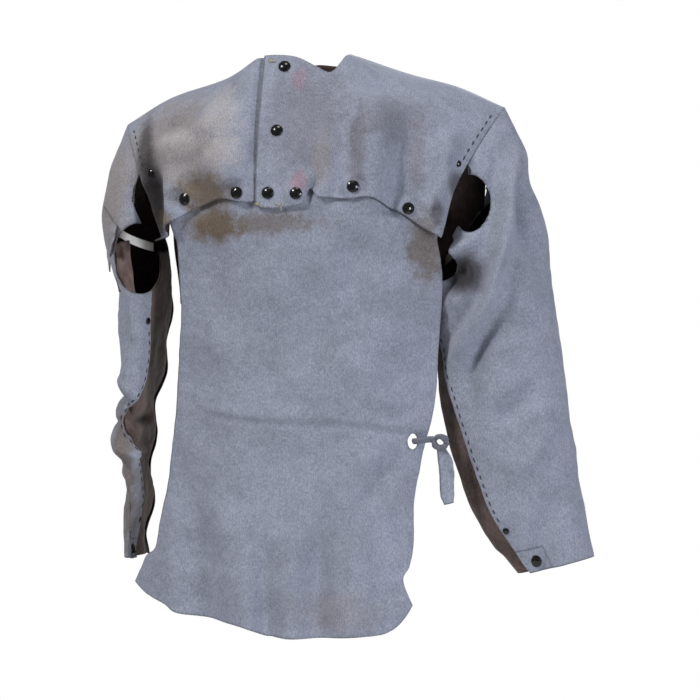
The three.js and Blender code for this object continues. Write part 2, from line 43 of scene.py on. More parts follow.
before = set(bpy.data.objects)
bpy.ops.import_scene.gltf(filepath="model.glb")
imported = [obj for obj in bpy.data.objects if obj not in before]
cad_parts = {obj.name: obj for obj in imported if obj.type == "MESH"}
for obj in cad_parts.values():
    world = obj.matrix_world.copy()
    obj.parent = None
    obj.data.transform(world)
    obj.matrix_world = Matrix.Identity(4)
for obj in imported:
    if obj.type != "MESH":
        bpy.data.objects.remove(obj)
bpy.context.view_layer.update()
print("frame loaded")

leather = 0.0018  # thickness of the split leather
fitGap = 0.0006
lapDrop = leather + 0.0014  # a lapped sheet lies this far under the one that covers it
snapDrop = leather + fitGap * 2 + 0.00255  # and this far where a snap's two halves lie between


def lerp(a, b, t):
    return a + (b - a) * t


def smoothstep(x, low, high):
    t = np.clip((x - low) / (high - low), 0, 1)
    return t * t * (3 - 2 * t)


def bell(distance, width):
    return np.exp(-(distance / width) ** 2)


def unit(vectors):
    return vectors / np.maximum(np.linalg.norm(vectors, axis=-1, keepdims=True), 1e-12)


# a smooth curve through a few points, as a function from the first number to the second
def curveThrough(points):
    p = np.array([points[0], *points, points[-1]], float)
    samples = []
    for i in range(1, len(p) - 2):
        for t in np.linspace(0, 1, 24, endpoint=False):
            a, b, c, d = p[i - 1:i + 3]
            samples.append(b + 0.5 * t * (c - a + t * (2 * a - 5 * b + 4 * c - d
                                                       + t * (3 * (b - c) + d - a))))
    samples = np.array(samples + [p[-1]])
    order = np.argsort(samples[:, 0])
    return lambda x: np.interp(x, samples[order, 0], samples[order, 1])


# soft waves with no direction of their own, about -1 to 1
def softWaves(points, wavelength, seed):
    dice = np.random.RandomState(seed)
    total = np.zeros(points.shape[:-1])
    for _ in range(9):
        direction = unit(dice.normal(size=3))
        size = wavelength * dice.uniform(0.7, 1.5)
        total += np.sin(points @ direction * (2 * math.pi / size) + dice.uniform(0, 6.28))
    return total / 3.6


# the shape that the cape lies on: its shoulders, neck, edges and hems
body = {
    "ridgeRight": (0.0289, 0.455), "ridgeLeft": (0.035, 0.36), "ridgeRound": 0.015,
    "neckLeft": 0.062, "neckRight": 0.080, "backNeckDip": 0.024,
    "shoulderLeft": 0.246, "shoulderRight": 0.222,
    "chestDepth": 0.125, "backDepth": 0.092, "sternumTop": 0.064, "sternumFoot": -0.172,
    "yokeHem": -0.166, "hemFall": 0.048, "frontWidth": 0.176,
    "backHem": -0.290, "backLeft": 0.184, "backRight": 0.172, "backArmhole": -0.200,
    "placketEdge": -0.039, "placketFold": 0.027, "placketHem": -0.174,
    "backLoose": 0.014,  # how far the left back edge hangs out below its rivet
    "swells": [(-0.168, 0.050, 0.010), (0.190, 0.045, 0.006)],  # where a shoulder rounds up, how wide and far
}


def ridgeHeight(x):
    toLeft = smoothstep(x, -0.04, 0.04)
    base = lerp(body["ridgeRight"][0], body["ridgeLeft"][0], toLeft)
    slope = lerp(body["ridgeRight"][1], body["ridgeLeft"][1], toLeft)
    swell = sum(rise * bell(x - at, width) for at, width, rise in body["swells"])
    return base - slope * np.hypot(x, body["ridgeRound"]) + swell


def shoulderRoll(x, z, radius):
    fall = np.clip((ridgeHeight(x) - z) / radius, 0, 1)
    return np.sqrt(1 - (1 - fall) ** 2)


def chestReach(x):
    spread = body["shoulderLeft"] + 0.026
    return body["chestDepth"] * (1 - (np.abs(x) / spread) ** 2.2)


def frontY(x, z):
    overShoulder = -chestReach(x) * shoulderRoll(x, z, 0.150 - 0.25 * np.abs(x))
    fall = np.clip((0.008 - z) / (0.008 - body["sternumFoot"]), -0.2, 1)
    overSternum = lerp(chestReach(x), body["sternumTop"], (1 - fall) ** 1.6)
    return lerp(-overSternum, overShoulder, smoothstep(np.abs(x), 0.040, 0.100))


def backY(x, z):
    reach = body["backDepth"] * (1 - (np.abs(x) / (body["shoulderLeft"] + 0.034)) ** 2.6)
    return reach * shoulderRoll(x, z, 0.135 - 0.2 * np.abs(x))


def frontPoint(x, z):
    return np.stack([x, frontY(x, z), z], axis=-1)


def backPoint(x, z):
    return np.stack([x, backY(x, z) + 0.0004, z], axis=-1)


frontNeckline = curveThrough([
    (-body["neckRight"], ridgeHeight(-body["neckRight"])), (-0.058, 0.002),
    (body["placketEdge"], 0.010), (-0.005, 0.009), (0.024, -0.003), (0.045, -0.010),
    (body["neckLeft"], ridgeHeight(body["neckLeft"])),
])


def frontTop(x):
    onNeck = (x > -body["neckRight"]) & (x < body["neckLeft"])
    return np.where(onNeck, frontNeckline(x), ridgeHeight(x))


def backTop(x):
    middle = (body["neckLeft"] - body["neckRight"]) / 2
    half = (body["neckLeft"] + body["neckRight"]) / 2
    across = np.clip((x - middle) / half, -1, 1)
    return ridgeHeight(x) - body["backNeckDip"] * np.sqrt(1 - across ** 2)


def frontHem(x):
    outward = np.clip((np.abs(x) - 0.085) / (body["frontWidth"] - 0.085), 0, 1.1)
    ripple = 0.0018 * np.sin(x * 62 + 1) + 0.001 * np.sin(x * 143)
    return body["yokeHem"] - body["hemFall"] * outward ** 1.5 + ripple


# the placket's rounded corner, the notch beside it, and the left front's hem
def leftHem(x):
    flap = body["placketHem"] + 0.0016 * np.sin(x * 90)
    notch = 0.014 * bell(x - 0.027, 0.0065)
    return lerp(flap, frontHem(x) + 0.004, smoothstep(x, 0.016, 0.034)) + notch


def frontArmholeX(side, v):
    tip = body["shoulderLeft"] if side > 0 else body["shoulderRight"]
    return side * (lerp(tip, body["frontWidth"], v) - 0.007 * np.sin(math.pi * np.clip(v, 0, 1)))


def backArmholeX(side, v):
    tip = body["shoulderLeft"] if side > 0 else body["shoulderRight"]
    width = body["backLeft"] if side > 0 else body["backRight"]
    top = ridgeHeight(np.array(side * tip))
    foot = (top - body["backArmhole"]) / (top - body["backHem"])
    down = np.clip(v / foot, 0, 1)
    loose = body["backLoose"] * bell(v - 0.54, 0.18) if side > 0 else 0
    return side * (lerp(tip, width + 0.008, down ** 0.8) - 0.008 * smoothstep(v, foot, 1) + loose)


# Each fold is a line of (x, z) seen from the front, its half width, and how far it stands
# out, or sinks where that is below 0. Its ends fade over the shares in fade.
capeFolds = [
    {"line": [(-0.180, -0.100), (-0.174, -0.140), (-0.170, -0.180), (-0.172, -0.215)],
     "width": 0.012, "depth": -0.012, "fade": (0.5, 0.05)},
    {"line": [(0.196, -0.142), (0.178, -0.172), (0.158, -0.200)],
     "width": 0.007, "depth": -0.003, "fade": (0.4, 0.3)},
    {"line": [(-0.168, -0.083), (-0.131, -0.072), (-0.101, -0.049)],
     "width": 0.012, "depth": -0.006, "fade": (0.3, 0.5)},
    {"line": [(-0.170, -0.112), (-0.143, -0.095), (-0.115, -0.072), (-0.085, -0.040)],
     "width": 0.013, "depth": 0.007, "fade": (0.25, 0.5)},
    {"line": [(-0.152, -0.120), (-0.148, -0.170), (-0.146, -0.215)],
     "width": 0.013, "depth": 0.005, "fade": (0.4, 0.1)},
    {"line": [(-0.120, -0.110), (-0.112, -0.150), (-0.104, -0.190)],
     "width": 0.016, "depth": -0.004, "fade": (0.5, 0.1)},
    {"line": [(-0.078, -0.070), (-0.074, -0.110), (-0.076, -0.160)],
     "width": 0.020, "depth": 0.005, "fade": (0.5, 0.2)},
    {"line": [(0.072, -0.030), (0.066, -0.090), (0.060, -0.170)],
     "width": 0.012, "depth": -0.004, "fade": (0.4, 0.1)},
    {"line": [(0.105, -0.020), (0.100, -0.090), (0.098, -0.180)],
     "width": 0.014, "depth": 0.004, "fade": (0.4, 0.1)},
    {"line": [(0.148, -0.040), (0.138, -0.100), (0.126, -0.190)],
     "width": 0.012, "depth": -0.007, "fade": (0.4, 0.05)},
    {"line": [(0.188, -0.070), (0.180, -0.130), (0.170, -0.215)],
     "width": 0.012, "depth": 0.008, "fade": (0.3, 0.05)},
    {"line": [(0.020, -0.166), (0.032, -0.148), (0.046, -0.130)],
     "width": 0.005, "depth": -0.0035, "fade": (0.05, 0.6)},
    {"line": [(0.010, -0.168), (0.020, -0.146), (0.032, -0.120)],
     "width": 0.007, "depth": 0.002, "fade": (0.05, 0.6)},
    {"line": [(0.060, -0.014), (0.110, -0.030), (0.160, -0.070)],
     "width": 0.013, "depth": -0.004, "fade": (0.4, 0.5)},
]
bibFolds = [
    {"line": [(-0.120, -0.424), (-0.040, -0.434), (0.060, -0.437), (0.168, -0.450)],
     "width": 0.004, "depth": -0.0010, "fade": (0.15, 0.05)},
    {"line": [(-0.125, -0.414), (-0.040, -0.424), (0.060, -0.427), (0.168, -0.440)],
     "width": 0.008, "depth": 0.0008, "fade": (0.15, 0.05)},
    {"line": [(-0.029, -0.560), (-0.032, -0.620), (-0.026, -0.690)],
     "width": 0.012, "depth": -0.005, "fade": (0.5, 0.0)},
    {"line": [(0.004, -0.560), (0.006, -0.620), (0.004, -0.690)],
     "width": 0.014, "depth": 0.005, "fade": (0.5, 0.0)},
    {"line": [(0.040, -0.520), (0.034, -0.590), (0.040, -0.690)],
     "width": 0.013, "depth": -0.005, "fade": (0.5, 0.0)},
    {"line": [(-0.150, -0.480), (-0.120, -0.560), (-0.110, -0.690)],
     "width": 0.018, "depth": -0.006, "fade": (0.5, 0.0)},
    {"line": [(0.075, -0.500), (0.080, -0.590), (0.085, -0.690)],
     "width": 0.018, "depth": 0.005, "fade": (0.5, 0.0)},
    {"line": [(0.070, -0.185), (0.085, -0.260), (0.080, -0.340)],
     "width": 0.018, "depth": -0.004, "fade": (0.3, 0.6)},
    {"line": [(-0.110, -0.190), (-0.100, -0.270), (-0.090, -0.350)],
     "width": 0.022, "depth": -0.003, "fade": (0.3, 0.6)},
    {"line": [(0.130, -0.430), (0.100, -0.380), (0.040, -0.330)],
     "width": 0.014, "depth": 0.0035, "fade": (0.2, 0.6)},
    {"line": [(0.140, -0.460), (0.110, -0.500), (0.080, -0.560)],
     "width": 0.012, "depth": -0.0035, "fade": (0.2, 0.6)},
]
sleeveFolds = [
    {"line": [(0.262, -0.080), (0.261, -0.140), (0.252, -0.220), (0.238, -0.282), (0.200, -0.345),
              (0.184, -0.390)],
     "width": 0.009, "depth": 0.009, "fade": (0.2, 0.2)},
    {"line": [(0.262, -0.112), (0.270, -0.160), (0.280, -0.210), (0.296, -0.265)],
     "width": 0.008, "depth": -0.009, "fade": (0.3, 0.4)},
    {"line": [(0.184, -0.262), (0.200, -0.256), (0.218, -0.250)],
     "width": 0.013, "depth": -0.010, "fade": (0.0, 0.5)},
    {"line": [(0.184, -0.232), (0.206, -0.220), (0.226, -0.206)],
     "width": 0.008, "depth": 0.005, "fade": (0.1, 0.5)},
    {"line": [(0.236, -0.300), (0.212, -0.360), (0.200, -0.440)],
     "width": 0.014, "depth": -0.006, "fade": (0.3, 0.4)},
    {"line": [(0.300, -0.380), (0.262, -0.420), (0.230, -0.430)],
     "width": 0.012, "depth": -0.004, "fade": (0.4, 0.4)},
    {"line": [(0.310, -0.440), (0.280, -0.480), (0.248, -0.500)],
     "width": 0.012, "depth": 0.004, "fade": (0.4, 0.4)},
    {"line": [(0.320, -0.500), (0.300, -0.560), (0.300, -0.620)],
     "width": 0.012, "depth": -0.004, "fade": (0.4, 0.1)},
    {"line": [(-0.236, -0.250), (-0.216, -0.300), (-0.206, -0.360)],
     "width": 0.008, "depth": -0.004, "fade": (0.3, 0.3)},
    {"line": [(-0.236, -0.390), (-0.214, -0.412), (-0.190, -0.440)],
     "width": 0.007, "depth": -0.006, "fade": (0.1, 0.1)},
    {"line": [(-0.236, -0.440), (-0.216, -0.470), (-0.196, -0.480)],
     "width": 0.009, "depth": 0.006, "fade": (0.1, 0.1)},
    {"line": [(-0.230, -0.500), (-0.212, -0.540), (-0.204, -0.610)],
     "width": 0.008, "depth": -0.005, "fade": (0.2, 0.1)},
]


def foldDepth(x, z, folds):
    total = np.zeros(np.shape(x))
    for fold in folds:
        line = np.array(fold["line"])
        lengths = np.linalg.norm(np.diff(line, axis=0), axis=1)
        nearest = np.full(np.shape(x), 9.0)
        place = np.zeros(np.shape(x))
        for i, length in enumerate(lengths):
            along = np.clip(((x - line[i, 0]) * (line[i + 1, 0] - line[i, 0])
                             + (z - line[i, 1]) * (line[i + 1, 1] - line[i, 1])) / length ** 2, 0, 1)
            away = np.hypot(x - lerp(line[i, 0], line[i + 1, 0], along),
                            z - lerp(line[i, 1], line[i + 1, 1], along))
            closer = away < nearest
            nearest = np.where(closer, away, nearest)
            place = np.where(closer, (lengths[:i].sum() + along * length) / lengths.sum(), place)
        start, end = fold["fade"]
        ends = smoothstep(place, -0.001, start) * smoothstep(1 - place, -0.001, end)
        shoulder = bell(nearest - fold["width"] * 2.1, fold["width"] * 0.9)
        total += fold["depth"] * (bell(nearest, fold["width"]) - 0.28 * shoulder) * ends
    return total * 1.6


# how the leather swells and wrinkles everywhere
def hangWaves(points, strength=1.0):
    broad = 0.0030 * softWaves(points, 0.13, 3) + 0.0011 * softWaves(points, 0.05, 5)
    return strength * (broad + 0.00034 * softWaves(points, 0.018, 8))


snapPlaces = [
    ("placket_top_snap", -0.013, -0.004, "placket"), ("placket_middle_snap", -0.016, -0.082, "placket"),
    ("hem_snap_1", -0.130, -0.164, "cape"), ("hem_snap_2", -0.062, -0.157, "cape"),
    ("hem_snap_3", -0.024, -0.157, "placket"), ("hem_snap_4", 0.011, -0.158, "placket"),
    ("hem_snap_5", 0.079, -0.150, "cape"), ("hem_snap_6", 0.143, -0.176, "cape"),
]


# the snaps keep the leather flat around them
def capeRelief(points):
    x, z = points[..., 0], points[..., 2]
    relief = looseRelief(points)
    for _, snapX, snapZ, _ in snapPlaces:
        level = looseRelief(frontPoint(np.array(snapX), np.array(snapZ)))
        relief = lerp(relief, level, smoothstep(0.019 - np.hypot(x - snapX, z - snapZ), 0, 0.011))
    return relief


def looseRelief(points):
    x, z = points[..., 0], points[..., 2]
    fromRidge = smoothstep(ridgeHeight(x) - z, 0.0, 0.035)
    tip = np.where(x > 0, body["shoulderLeft"], body["shoulderRight"])
    top = ridgeHeight(np.where(x > 0, body["shoulderLeft"], -body["shoulderRight"]))
    down = np.clip((top - z) / (top + 0.214), 0, 1)
    edge = lerp(tip, body["frontWidth"], down)
    sewn = 1 - smoothstep(down, 0.40, 0.56)
    fromArmhole = lerp(1, smoothstep(edge - np.abs(x), 0.0, 0.024), sewn)
    return (foldDepth(x, z, capeFolds) + hangWaves(points)) * fromRidge * fromArmhole


def backRelief(points):
    x, z = points[..., 0], points[..., 2]
    fromRidge = smoothstep(ridgeHeight(x) - z, 0.0, 0.04)
    folds = 0.006 * np.sin(x * 46 + z * 9) * smoothstep(-z, 0.05, 0.28)
    fromSide = smoothstep(0.178 - np.abs(x) + np.clip(z + 0.2, 0, 1) * 0.4, 0.0, 0.03)
    return (folds + hangWaves(points, 1.4)) * fromRidge * fromSide


def bibRelief(points):
    x, z = points[..., 0], points[..., 2]
    below = smoothstep(-z, 0.172, 0.235)
    under = capeRelief(points)
    own = foldDepth(x, z, bibFolds) + hangWaves(points, 0.9)
    return lerp(under, own, below)


def surfaceNormals(surface, u, v, turned):
    step = 1e-3
    alongU = surface(u + step, v) - surface(u - step, v)
    alongV = surface(u, v + step) - surface(u, v - step)
    normal = unit(np.cross(alongU, alongV))
    return -normal if turned else normal


# A closed sheet over (u, v), whose outer face is lifted by lift(points, u, v). drop says which
# cells are cut away, and holes are ellipsoids (centre, size) whose rims are made smooth.
def sheetPiece(name, surface, uList, vList, lift, turned=False, thick=leather, drop=None,
               holes=(), materials=(), edgeRound=0.35):
    v, u = np.meshgrid(vList, uList, indexing="ij")
    base = surface(u, v)
    normal = surfaceNormals(surface, u, v, turned)
    points = base + normal * lift(base, u, v)[..., None]
    rows, cols = u.shape
    keep = np.ones((rows - 1, cols - 1), bool)
    middle = (points[1:, 1:] + points[:-1, :-1] + points[1:, :-1] + points[:-1, 1:]) / 4
    if drop is not None:
        keep &= ~drop((u[1:, 1:] + u[:-1, :-1]) / 2, (v[1:, 1:] + v[:-1, :-1]) / 2)
    for centre, size in holes:
        keep &= np.linalg.norm((middle - centre) / size, axis=-1) > 1
    index = np.arange(rows * cols).reshape(rows, cols)
    quads = np.stack([index[:-1, :-1], index[:-1, 1:], index[1:, 1:], index[1:, :-1]], -1)[keep]
    if turned:
        quads = quads[:, ::-1]
    flat = points.reshape(-1, 3).copy()
    for centre, size in holes:  # pull the rim's stairs onto the ellipsoid
        used = np.zeros(len(flat), int)
        np.add.at(used, quads.ravel(), 1)
        radius = np.linalg.norm((flat - centre) / size, axis=-1)
        inner = np.zeros(index.shape, bool)
        inner[1:-1, 1:-1] = True
        rim = (used > 0) & (used < 4) & (radius < 1.35) & (radius > 0.6) & inner.ravel()
        flat[rim] = centre + (flat[rim] - centre) / radius[rim][:, None]
    grid = flat.reshape(rows, cols, 3)
    facing = unit(np.cross(np.gradient(grid, axis=1), np.gradient(grid, axis=0)))
    if turned:
        facing = -facing
    facing = facing.reshape(-1, 3)
    inside = flat - facing * thick
    count = len(flat)
    edges = {}
    for quad in quads:
        for a, b in zip(quad, np.roll(quad, -1)):
            key = (min(a, b), max(a, b))
            edges[key] = None if key in edges else (a, b)
    rimEdges = [pair for pair in edges.values() if pair is not None]
    outward = np.zeros((count, 3))
    for a, b in rimEdges:
        away = np.cross(flat[b] - flat[a], facing[a])
        outward[a] += away
        outward[b] += away
    outward = unit(outward)
    rimIds = {}
    rimPoints = []
    for a, b in rimEdges:
        for p in (a, b):
            if p not in rimIds:
                rimIds[p] = 2 * count + len(rimPoints)
                rimPoints.append(flat[p] - facing[p] * thick / 2 + outward[p] * thick * edgeRound)
    verts = np.concatenate([flat, inside, np.array(rimPoints)])
    faces = [tuple(q) for q in quads] + [tuple(q[::-1] + count) for q in quads]
    for a, b in rimEdges:
        faces.append((b, a, rimIds[a], rimIds[b]))
        faces.append((rimIds[b], rimIds[a], a + count, b + count))
    mesh = bpy.data.meshes.new(name)
    mesh.from_pydata(verts.tolist(), [], [tuple(int(i) for i in f) for f in faces])
    piece = bpy.data.objects.new(name, mesh)
    bpy.context.scene.collection.objects.link(piece)
    # how far each point lies from the edge, which the rubbed edges read
    rimSet = np.array(sorted(rimIds))
    near = np.full(count, 0.05)
    rimFlat = flat[rimSet]
    for start in range(0, count, 4000):
        part = flat[start:start + 4000]
        gaps = np.linalg.norm(part[:, None, :] - rimFlat[None, ::2, :], axis=-1)
        near[start:start + 4000] = gaps.min(axis=1)
    near = np.concatenate([near, near, np.zeros(len(rimPoints))])
    attribute = mesh.attributes.new("edgeDistance", "FLOAT", "POINT")
    attribute.data.foreach_set("value", near.astype(np.float32))
    for material in materials:
        mesh.materials.append(material)
    if len(materials) > 1:
        slots = np.zeros(len(faces), np.int32)
        slots[len(quads):2 * len(quads)] = 1
        slots[2 * len(quads) + 1::2] = 1
        mesh.polygons.foreach_set("material_index", slots)
    mesh.polygons.foreach_set("use_smooth", np.ones(len(faces), bool))
    rest = {"u": np.concatenate([u.ravel(), u.ravel(), [u.ravel()[i] for i in rimIds]]),
            "v": np.concatenate([v.ravel(), v.ravel(), [v.ravel()[i] for i in rimIds]])}
    used = np.zeros(len(verts), bool)
    used[np.unique(np.concatenate([np.array(f) for f in faces]))] = True
    if not used.all():
        worker = bmesh.new()
        worker.from_mesh(mesh)
        worker.verts.ensure_lookup_table()
        bmesh.ops.delete(worker, geom=[worker.verts[i] for i in np.nonzero(~used)[0]], context="VERTS")
        worker.to_mesh(mesh)
        worker.free()
        rest = {key: values[used] for key, values in rest.items()}
    mesh.update()
    piece.select_set(False)
    return piece, rest


def setBlend(piece, weights):
    attribute = piece.data.attributes["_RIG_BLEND"]
    attribute.data.foreach_set("value", weights.astype(np.float32))


def addGroup(name, inputs, outputs):
    group = bpy.data.node_groups.new(name, "ShaderNodeTree")
    for label, kind, value in inputs:
        socket = group.interface.new_socket(name=label, in_out="INPUT", socket_type=kind)
        socket.default_value = value
    for label, kind in outputs:
        group.interface.new_socket(name=label, in_out="OUTPUT", socket_type=kind)
    return group, group.nodes.new("NodeGroupInput"), group.nodes.new("NodeGroupOutput")


def addNode(tree, kind, values=None, links=None):
    node = tree.nodes.new(kind)
    for key, value in (values or {}).items():
        if isinstance(key, str) and hasattr(node, key):
            setattr(node, key, value)
        else:
            node.inputs[key].default_value = value
    for key, source in (links or {}).items():
        tree.links.new(source, node.inputs[key])
    return node


def sums(tree, operation, a, b):
    node = tree.nodes.new("ShaderNodeMath")
    node.operation = operation
    for i, value in enumerate((a, b)):
        if isinstance(value, (int, float)):
            node.inputs[i].default_value = value
        else:
            tree.links.new(value, node.inputs[i])
    return node.outputs[0]


def spread(tree, value, low, high, toLow=0.0, toHigh=1.0):
    node = addNode(tree, "ShaderNodeMapRange", {"clamp": True, "interpolation_type": "SMOOTHSTEP"},
                   {"Value": value})
    for key, number in (("From Min", low), ("From Max", high), ("To Min", toLow), ("To Max", toHigh)):
        node.inputs[key].default_value = number
    return node.outputs["Result"]


def mixColour(tree, factor, a, b, blend="MIX"):
    node = tree.nodes.new("ShaderNodeMix")
    node.data_type = "RGBA"
    node.blend_type = blend
    for i, value in ((0, factor), (6, a), (7, b)):
        if isinstance(value, (int, float)):
            node.inputs[i].default_value = value
        elif isinstance(value, tuple):
            node.inputs[i].default_value = (*value, 1)
        else:
            tree.links.new(value, node.inputs[i])
    return node.outputs[2]


# the nap of split leather: cloudy mottling, short fibres and small pits
def makeNapGroup():
    group, inside, outside = addGroup("leatherNap", [
        ("place", "NodeSocketVector", (0, 0, 0)), ("cloudScale", "NodeSocketFloat", 14.0),
        ("fibreScale", "NodeSocketFloat", 620.0),
    ], [("clouds", "NodeSocketFloat"), ("fibres", "NodeSocketFloat"), ("pits", "NodeSocketFloat"),
        ("blotches", "NodeSocketFloat")])
    place, cloudScale, fibreScale = inside.outputs[:3]
    clouds = addNode(group, "ShaderNodeTexNoise", {"Detail": 5.0, "Roughness": 0.62},
                     {"Vector": place, "Scale": cloudScale})
    blotches = addNode(group, "ShaderNodeTexNoise", {"Detail": 6.0, "Roughness": 0.7, "Distortion": 0.6},
                       {"Vector": place, "Scale": sums(group, "MULTIPLY", cloudScale, 4.2)})
    stretched = addNode(group, "ShaderNodeMapping", {"Scale": (1.0, 1.0, 0.45)}, {"Vector": place})
    fibres = addNode(group, "ShaderNodeTexNoise", {"Detail": 3.0, "Roughness": 0.7},
                     {"Vector": stretched.outputs[0], "Scale": fibreScale})
    pits = addNode(group, "ShaderNodeTexVoronoi", {"feature": "F1"},
                   {"Vector": place, "Scale": sums(group, "MULTIPLY", fibreScale, 0.5)})
    group.links.new(clouds.outputs["Fac"], outside.inputs["clouds"])
    group.links.new(fibres.outputs["Fac"], outside.inputs["fibres"])
    group.links.new(pits.outputs["Distance"], outside.inputs["pits"])
    group.links.new(blotches.outputs["Fac"], outside.inputs["blotches"])
    return group


# a ragged patch around a place, for stains and for painted shade and highlights
def makeStainAndPaintedLightGroup():
    group, inside, outside = addGroup("stainAndPaintedLightPatch", [
        ("place", "NodeSocketVector", (0, 0, 0)), ("centre", "NodeSocketVector", (0, 0, 0)),
        ("size", "NodeSocketVector", (0.02, 0.05, 0.02)), ("raggedness", "NodeSocketFloat", 0.6),
    ], [("mask", "NodeSocketFloat")])
    place, centre, size, raggedness = inside.outputs[:4]
    offset = addNode(group, "ShaderNodeVectorMath", {"operation": "SUBTRACT"}, {0: place, 1: centre})
    shared = addNode(group, "ShaderNodeVectorMath", {"operation": "DIVIDE"}, {0: offset.outputs[0], 1: size})
    away = addNode(group, "ShaderNodeVectorMath", {"operation": "LENGTH"}, {0: shared.outputs[0]})
    noise = addNode(group, "ShaderNodeTexNoise", {"Scale": 75.0, "Detail": 6.0, "Roughness": 0.65},
                    {"Vector": place})
    shake = sums(group, "MULTIPLY", sums(group, "SUBTRACT", noise.outputs["Fac"], 0.5), raggedness)
    ragged = sums(group, "ADD", away.outputs["Value"], sums(group, "MULTIPLY", shake, 3.0))
    group.links.new(spread(group, ragged, 0.40, 1.15, 1.0, 0.0), outside.inputs["mask"])
    return group


# rubbed edges, from the distance that each sheet keeps to its own edge
def makeEdgeGroup():
    group, inside, outside = addGroup("rubbedEdge", [
        ("place", "NodeSocketVector", (0, 0, 0)), ("reach", "NodeSocketFloat", 0.004),
    ], [("mask", "NodeSocketFloat")])
    place, reach = inside.outputs[:2]
    distance = addNode(group, "ShaderNodeAttribute", {"attribute_name": "edgeDistance"})
    noise = addNode(group, "ShaderNodeTexNoise", {"Scale": 160.0, "Detail": 4.0}, {"Vector": place})
    wander = sums(group, "MULTIPLY", reach, sums(group, "ADD", noise.outputs["Fac"], 0.3))
    share = sums(group, "DIVIDE", distance.outputs["Fac"], wander)
    group.links.new(spread(group, share, 0.15, 1.0, 1.0, 0.0), outside.inputs["mask"])
    return group


napGroup = makeNapGroup()
stainAndPaintedLightGroup = makeStainAndPaintedLightGroup()
edgeGroup = makeEdgeGroup()


def newMaterial(name):
    material = bpy.data.materials.new(name)
    material.use_nodes = True
    tree = material.node_tree
    shader = tree.nodes["Principled BSDF"]
    place = addNode(tree, "ShaderNodeTexCoord").outputs["Object"]
    return material, tree, shader, place


suedeLook = {
    "colour": (0.248, 0.270, 0.342), "pale": (0.360, 0.385, 0.475), "deep": (0.165, 0.176, 0.222),
    "edge": (0.060, 0.056, 0.066), "brown": (0.128, 0.096, 0.066), "pink": (0.33, 0.17, 0.22),
    "warm": (0.250, 0.222, 0.212), "paintedShade": (0.026, 0.022, 0.021), "shade": (0.140, 0.136, 0.156),
    "worn": (0.430, 0.412, 0.418), "fibreDark": (0.74, 0.74, 0.76), "fibreLight": (1.28, 1.27, 1.25),
    "cloudScale": 22, "fibreScale": 760, "edgeReach": 0.0026,
}
# place, size, raggedness, strength and colour of each patch: real stains, painted shade and painted highlights
stainsAndPaintedLight = [
    # a warmer, browner tone over the right front and the right shoulder
    ((-0.145, -0.080, -0.100), (0.090, 0.12, 0.075), 0.4, 0.75, "warm"),
    ((-0.232, -0.040, -0.160), (0.034, 0.12, 0.090), 0.4, 0.80, "warm"),
    # painted highlights on the right chest's ridge and bulge
    ((-0.140, -0.080, -0.096), (0.036, 0.09, 0.020), 0.4, 0.60, "worn"),
    ((-0.086, -0.080, -0.060), (0.030, 0.09, 0.040), 0.5, 0.45, "worn"),
    ((-0.080, -0.100, -0.108), (0.030, 0.09, 0.026), 0.5, 0.45, "worn"),
    ((0.020, -0.090, -0.070), (0.060, 0.10, 0.080), 0.5, 0.50, "shade"),
    ((0.120, -0.080, -0.070), (0.060, 0.10, 0.034), 0.5, 0.50, "shade"),
    ((0.084, -0.090, -0.108), (0.014, 0.10, 0.060), 0.4, 0.60, "shade"),
    ((0.150, -0.090, -0.120), (0.014, 0.10, 0.060), 0.4, 0.45, "shade"),
    # painted shadow, with some grime, down the fold at the right front's armhole
    ((-0.178, -0.050, -0.176), (0.021, 0.12, 0.085), 0.12, 0.95, "paintedShade"),
    ((-0.188, -0.040, -0.106), (0.014, 0.11, 0.050), 0.15, 0.75, "paintedShade"),
    ((-0.104, -0.110, -0.156), (0.044, 0.09, 0.028), 0.35, 0.90, "brown"),
    ((-0.094, -0.110, -0.196), (0.042, 0.09, 0.026), 0.35, 0.95, "brown"),
    ((-0.158, -0.090, -0.188), (0.018, 0.08, 0.015), 0.4, 0.80, "brown"),
    ((-0.030, -0.120, -0.194), (0.085, 0.08, 0.015), 0.6, 0.60, "brown"),
    # painted shade, in a warm tone, down the left front beside the placket
    ((0.042, -0.110, -0.120), (0.014, 0.08, 0.040), 0.5, 0.45, "warm"),
    ((0.006, -0.090, -0.018), (0.011, 0.05, 0.016), 0.4, 0.35, "pink"),
    ((0.013, -0.110, -0.143), (0.013, 0.05, 0.015), 0.4, 0.50, "pink"),
    ((0.160, -0.060, -0.222), (0.026, 0.08, 0.050), 0.5, 0.70, "brown"),
    # painted shade with an orange cast down the right sleeve's inner side
    ((-0.216, -0.020, -0.500), (0.020, 0.20, 0.110), 0.4, 0.75, "brown"),
    ((0.060, -0.120, -0.660), (0.070, 0.08, 0.030), 0.7, 0.30, "warm"),
    # painted shadow in the left sleeve's hollow and along the left front's fold by the armhole
    ((0.205, -0.050, -0.254), (0.032, 0.08, 0.032), 0.15, 0.94, "paintedShade"),
    ((0.196, -0.070, -0.148), (0.009, 0.09, 0.020), 0.2, 0.65, "paintedShade"),
    ((0.176, -0.080, -0.182), (0.009, 0.09, 0.022), 0.2, 0.65, "paintedShade"),
]


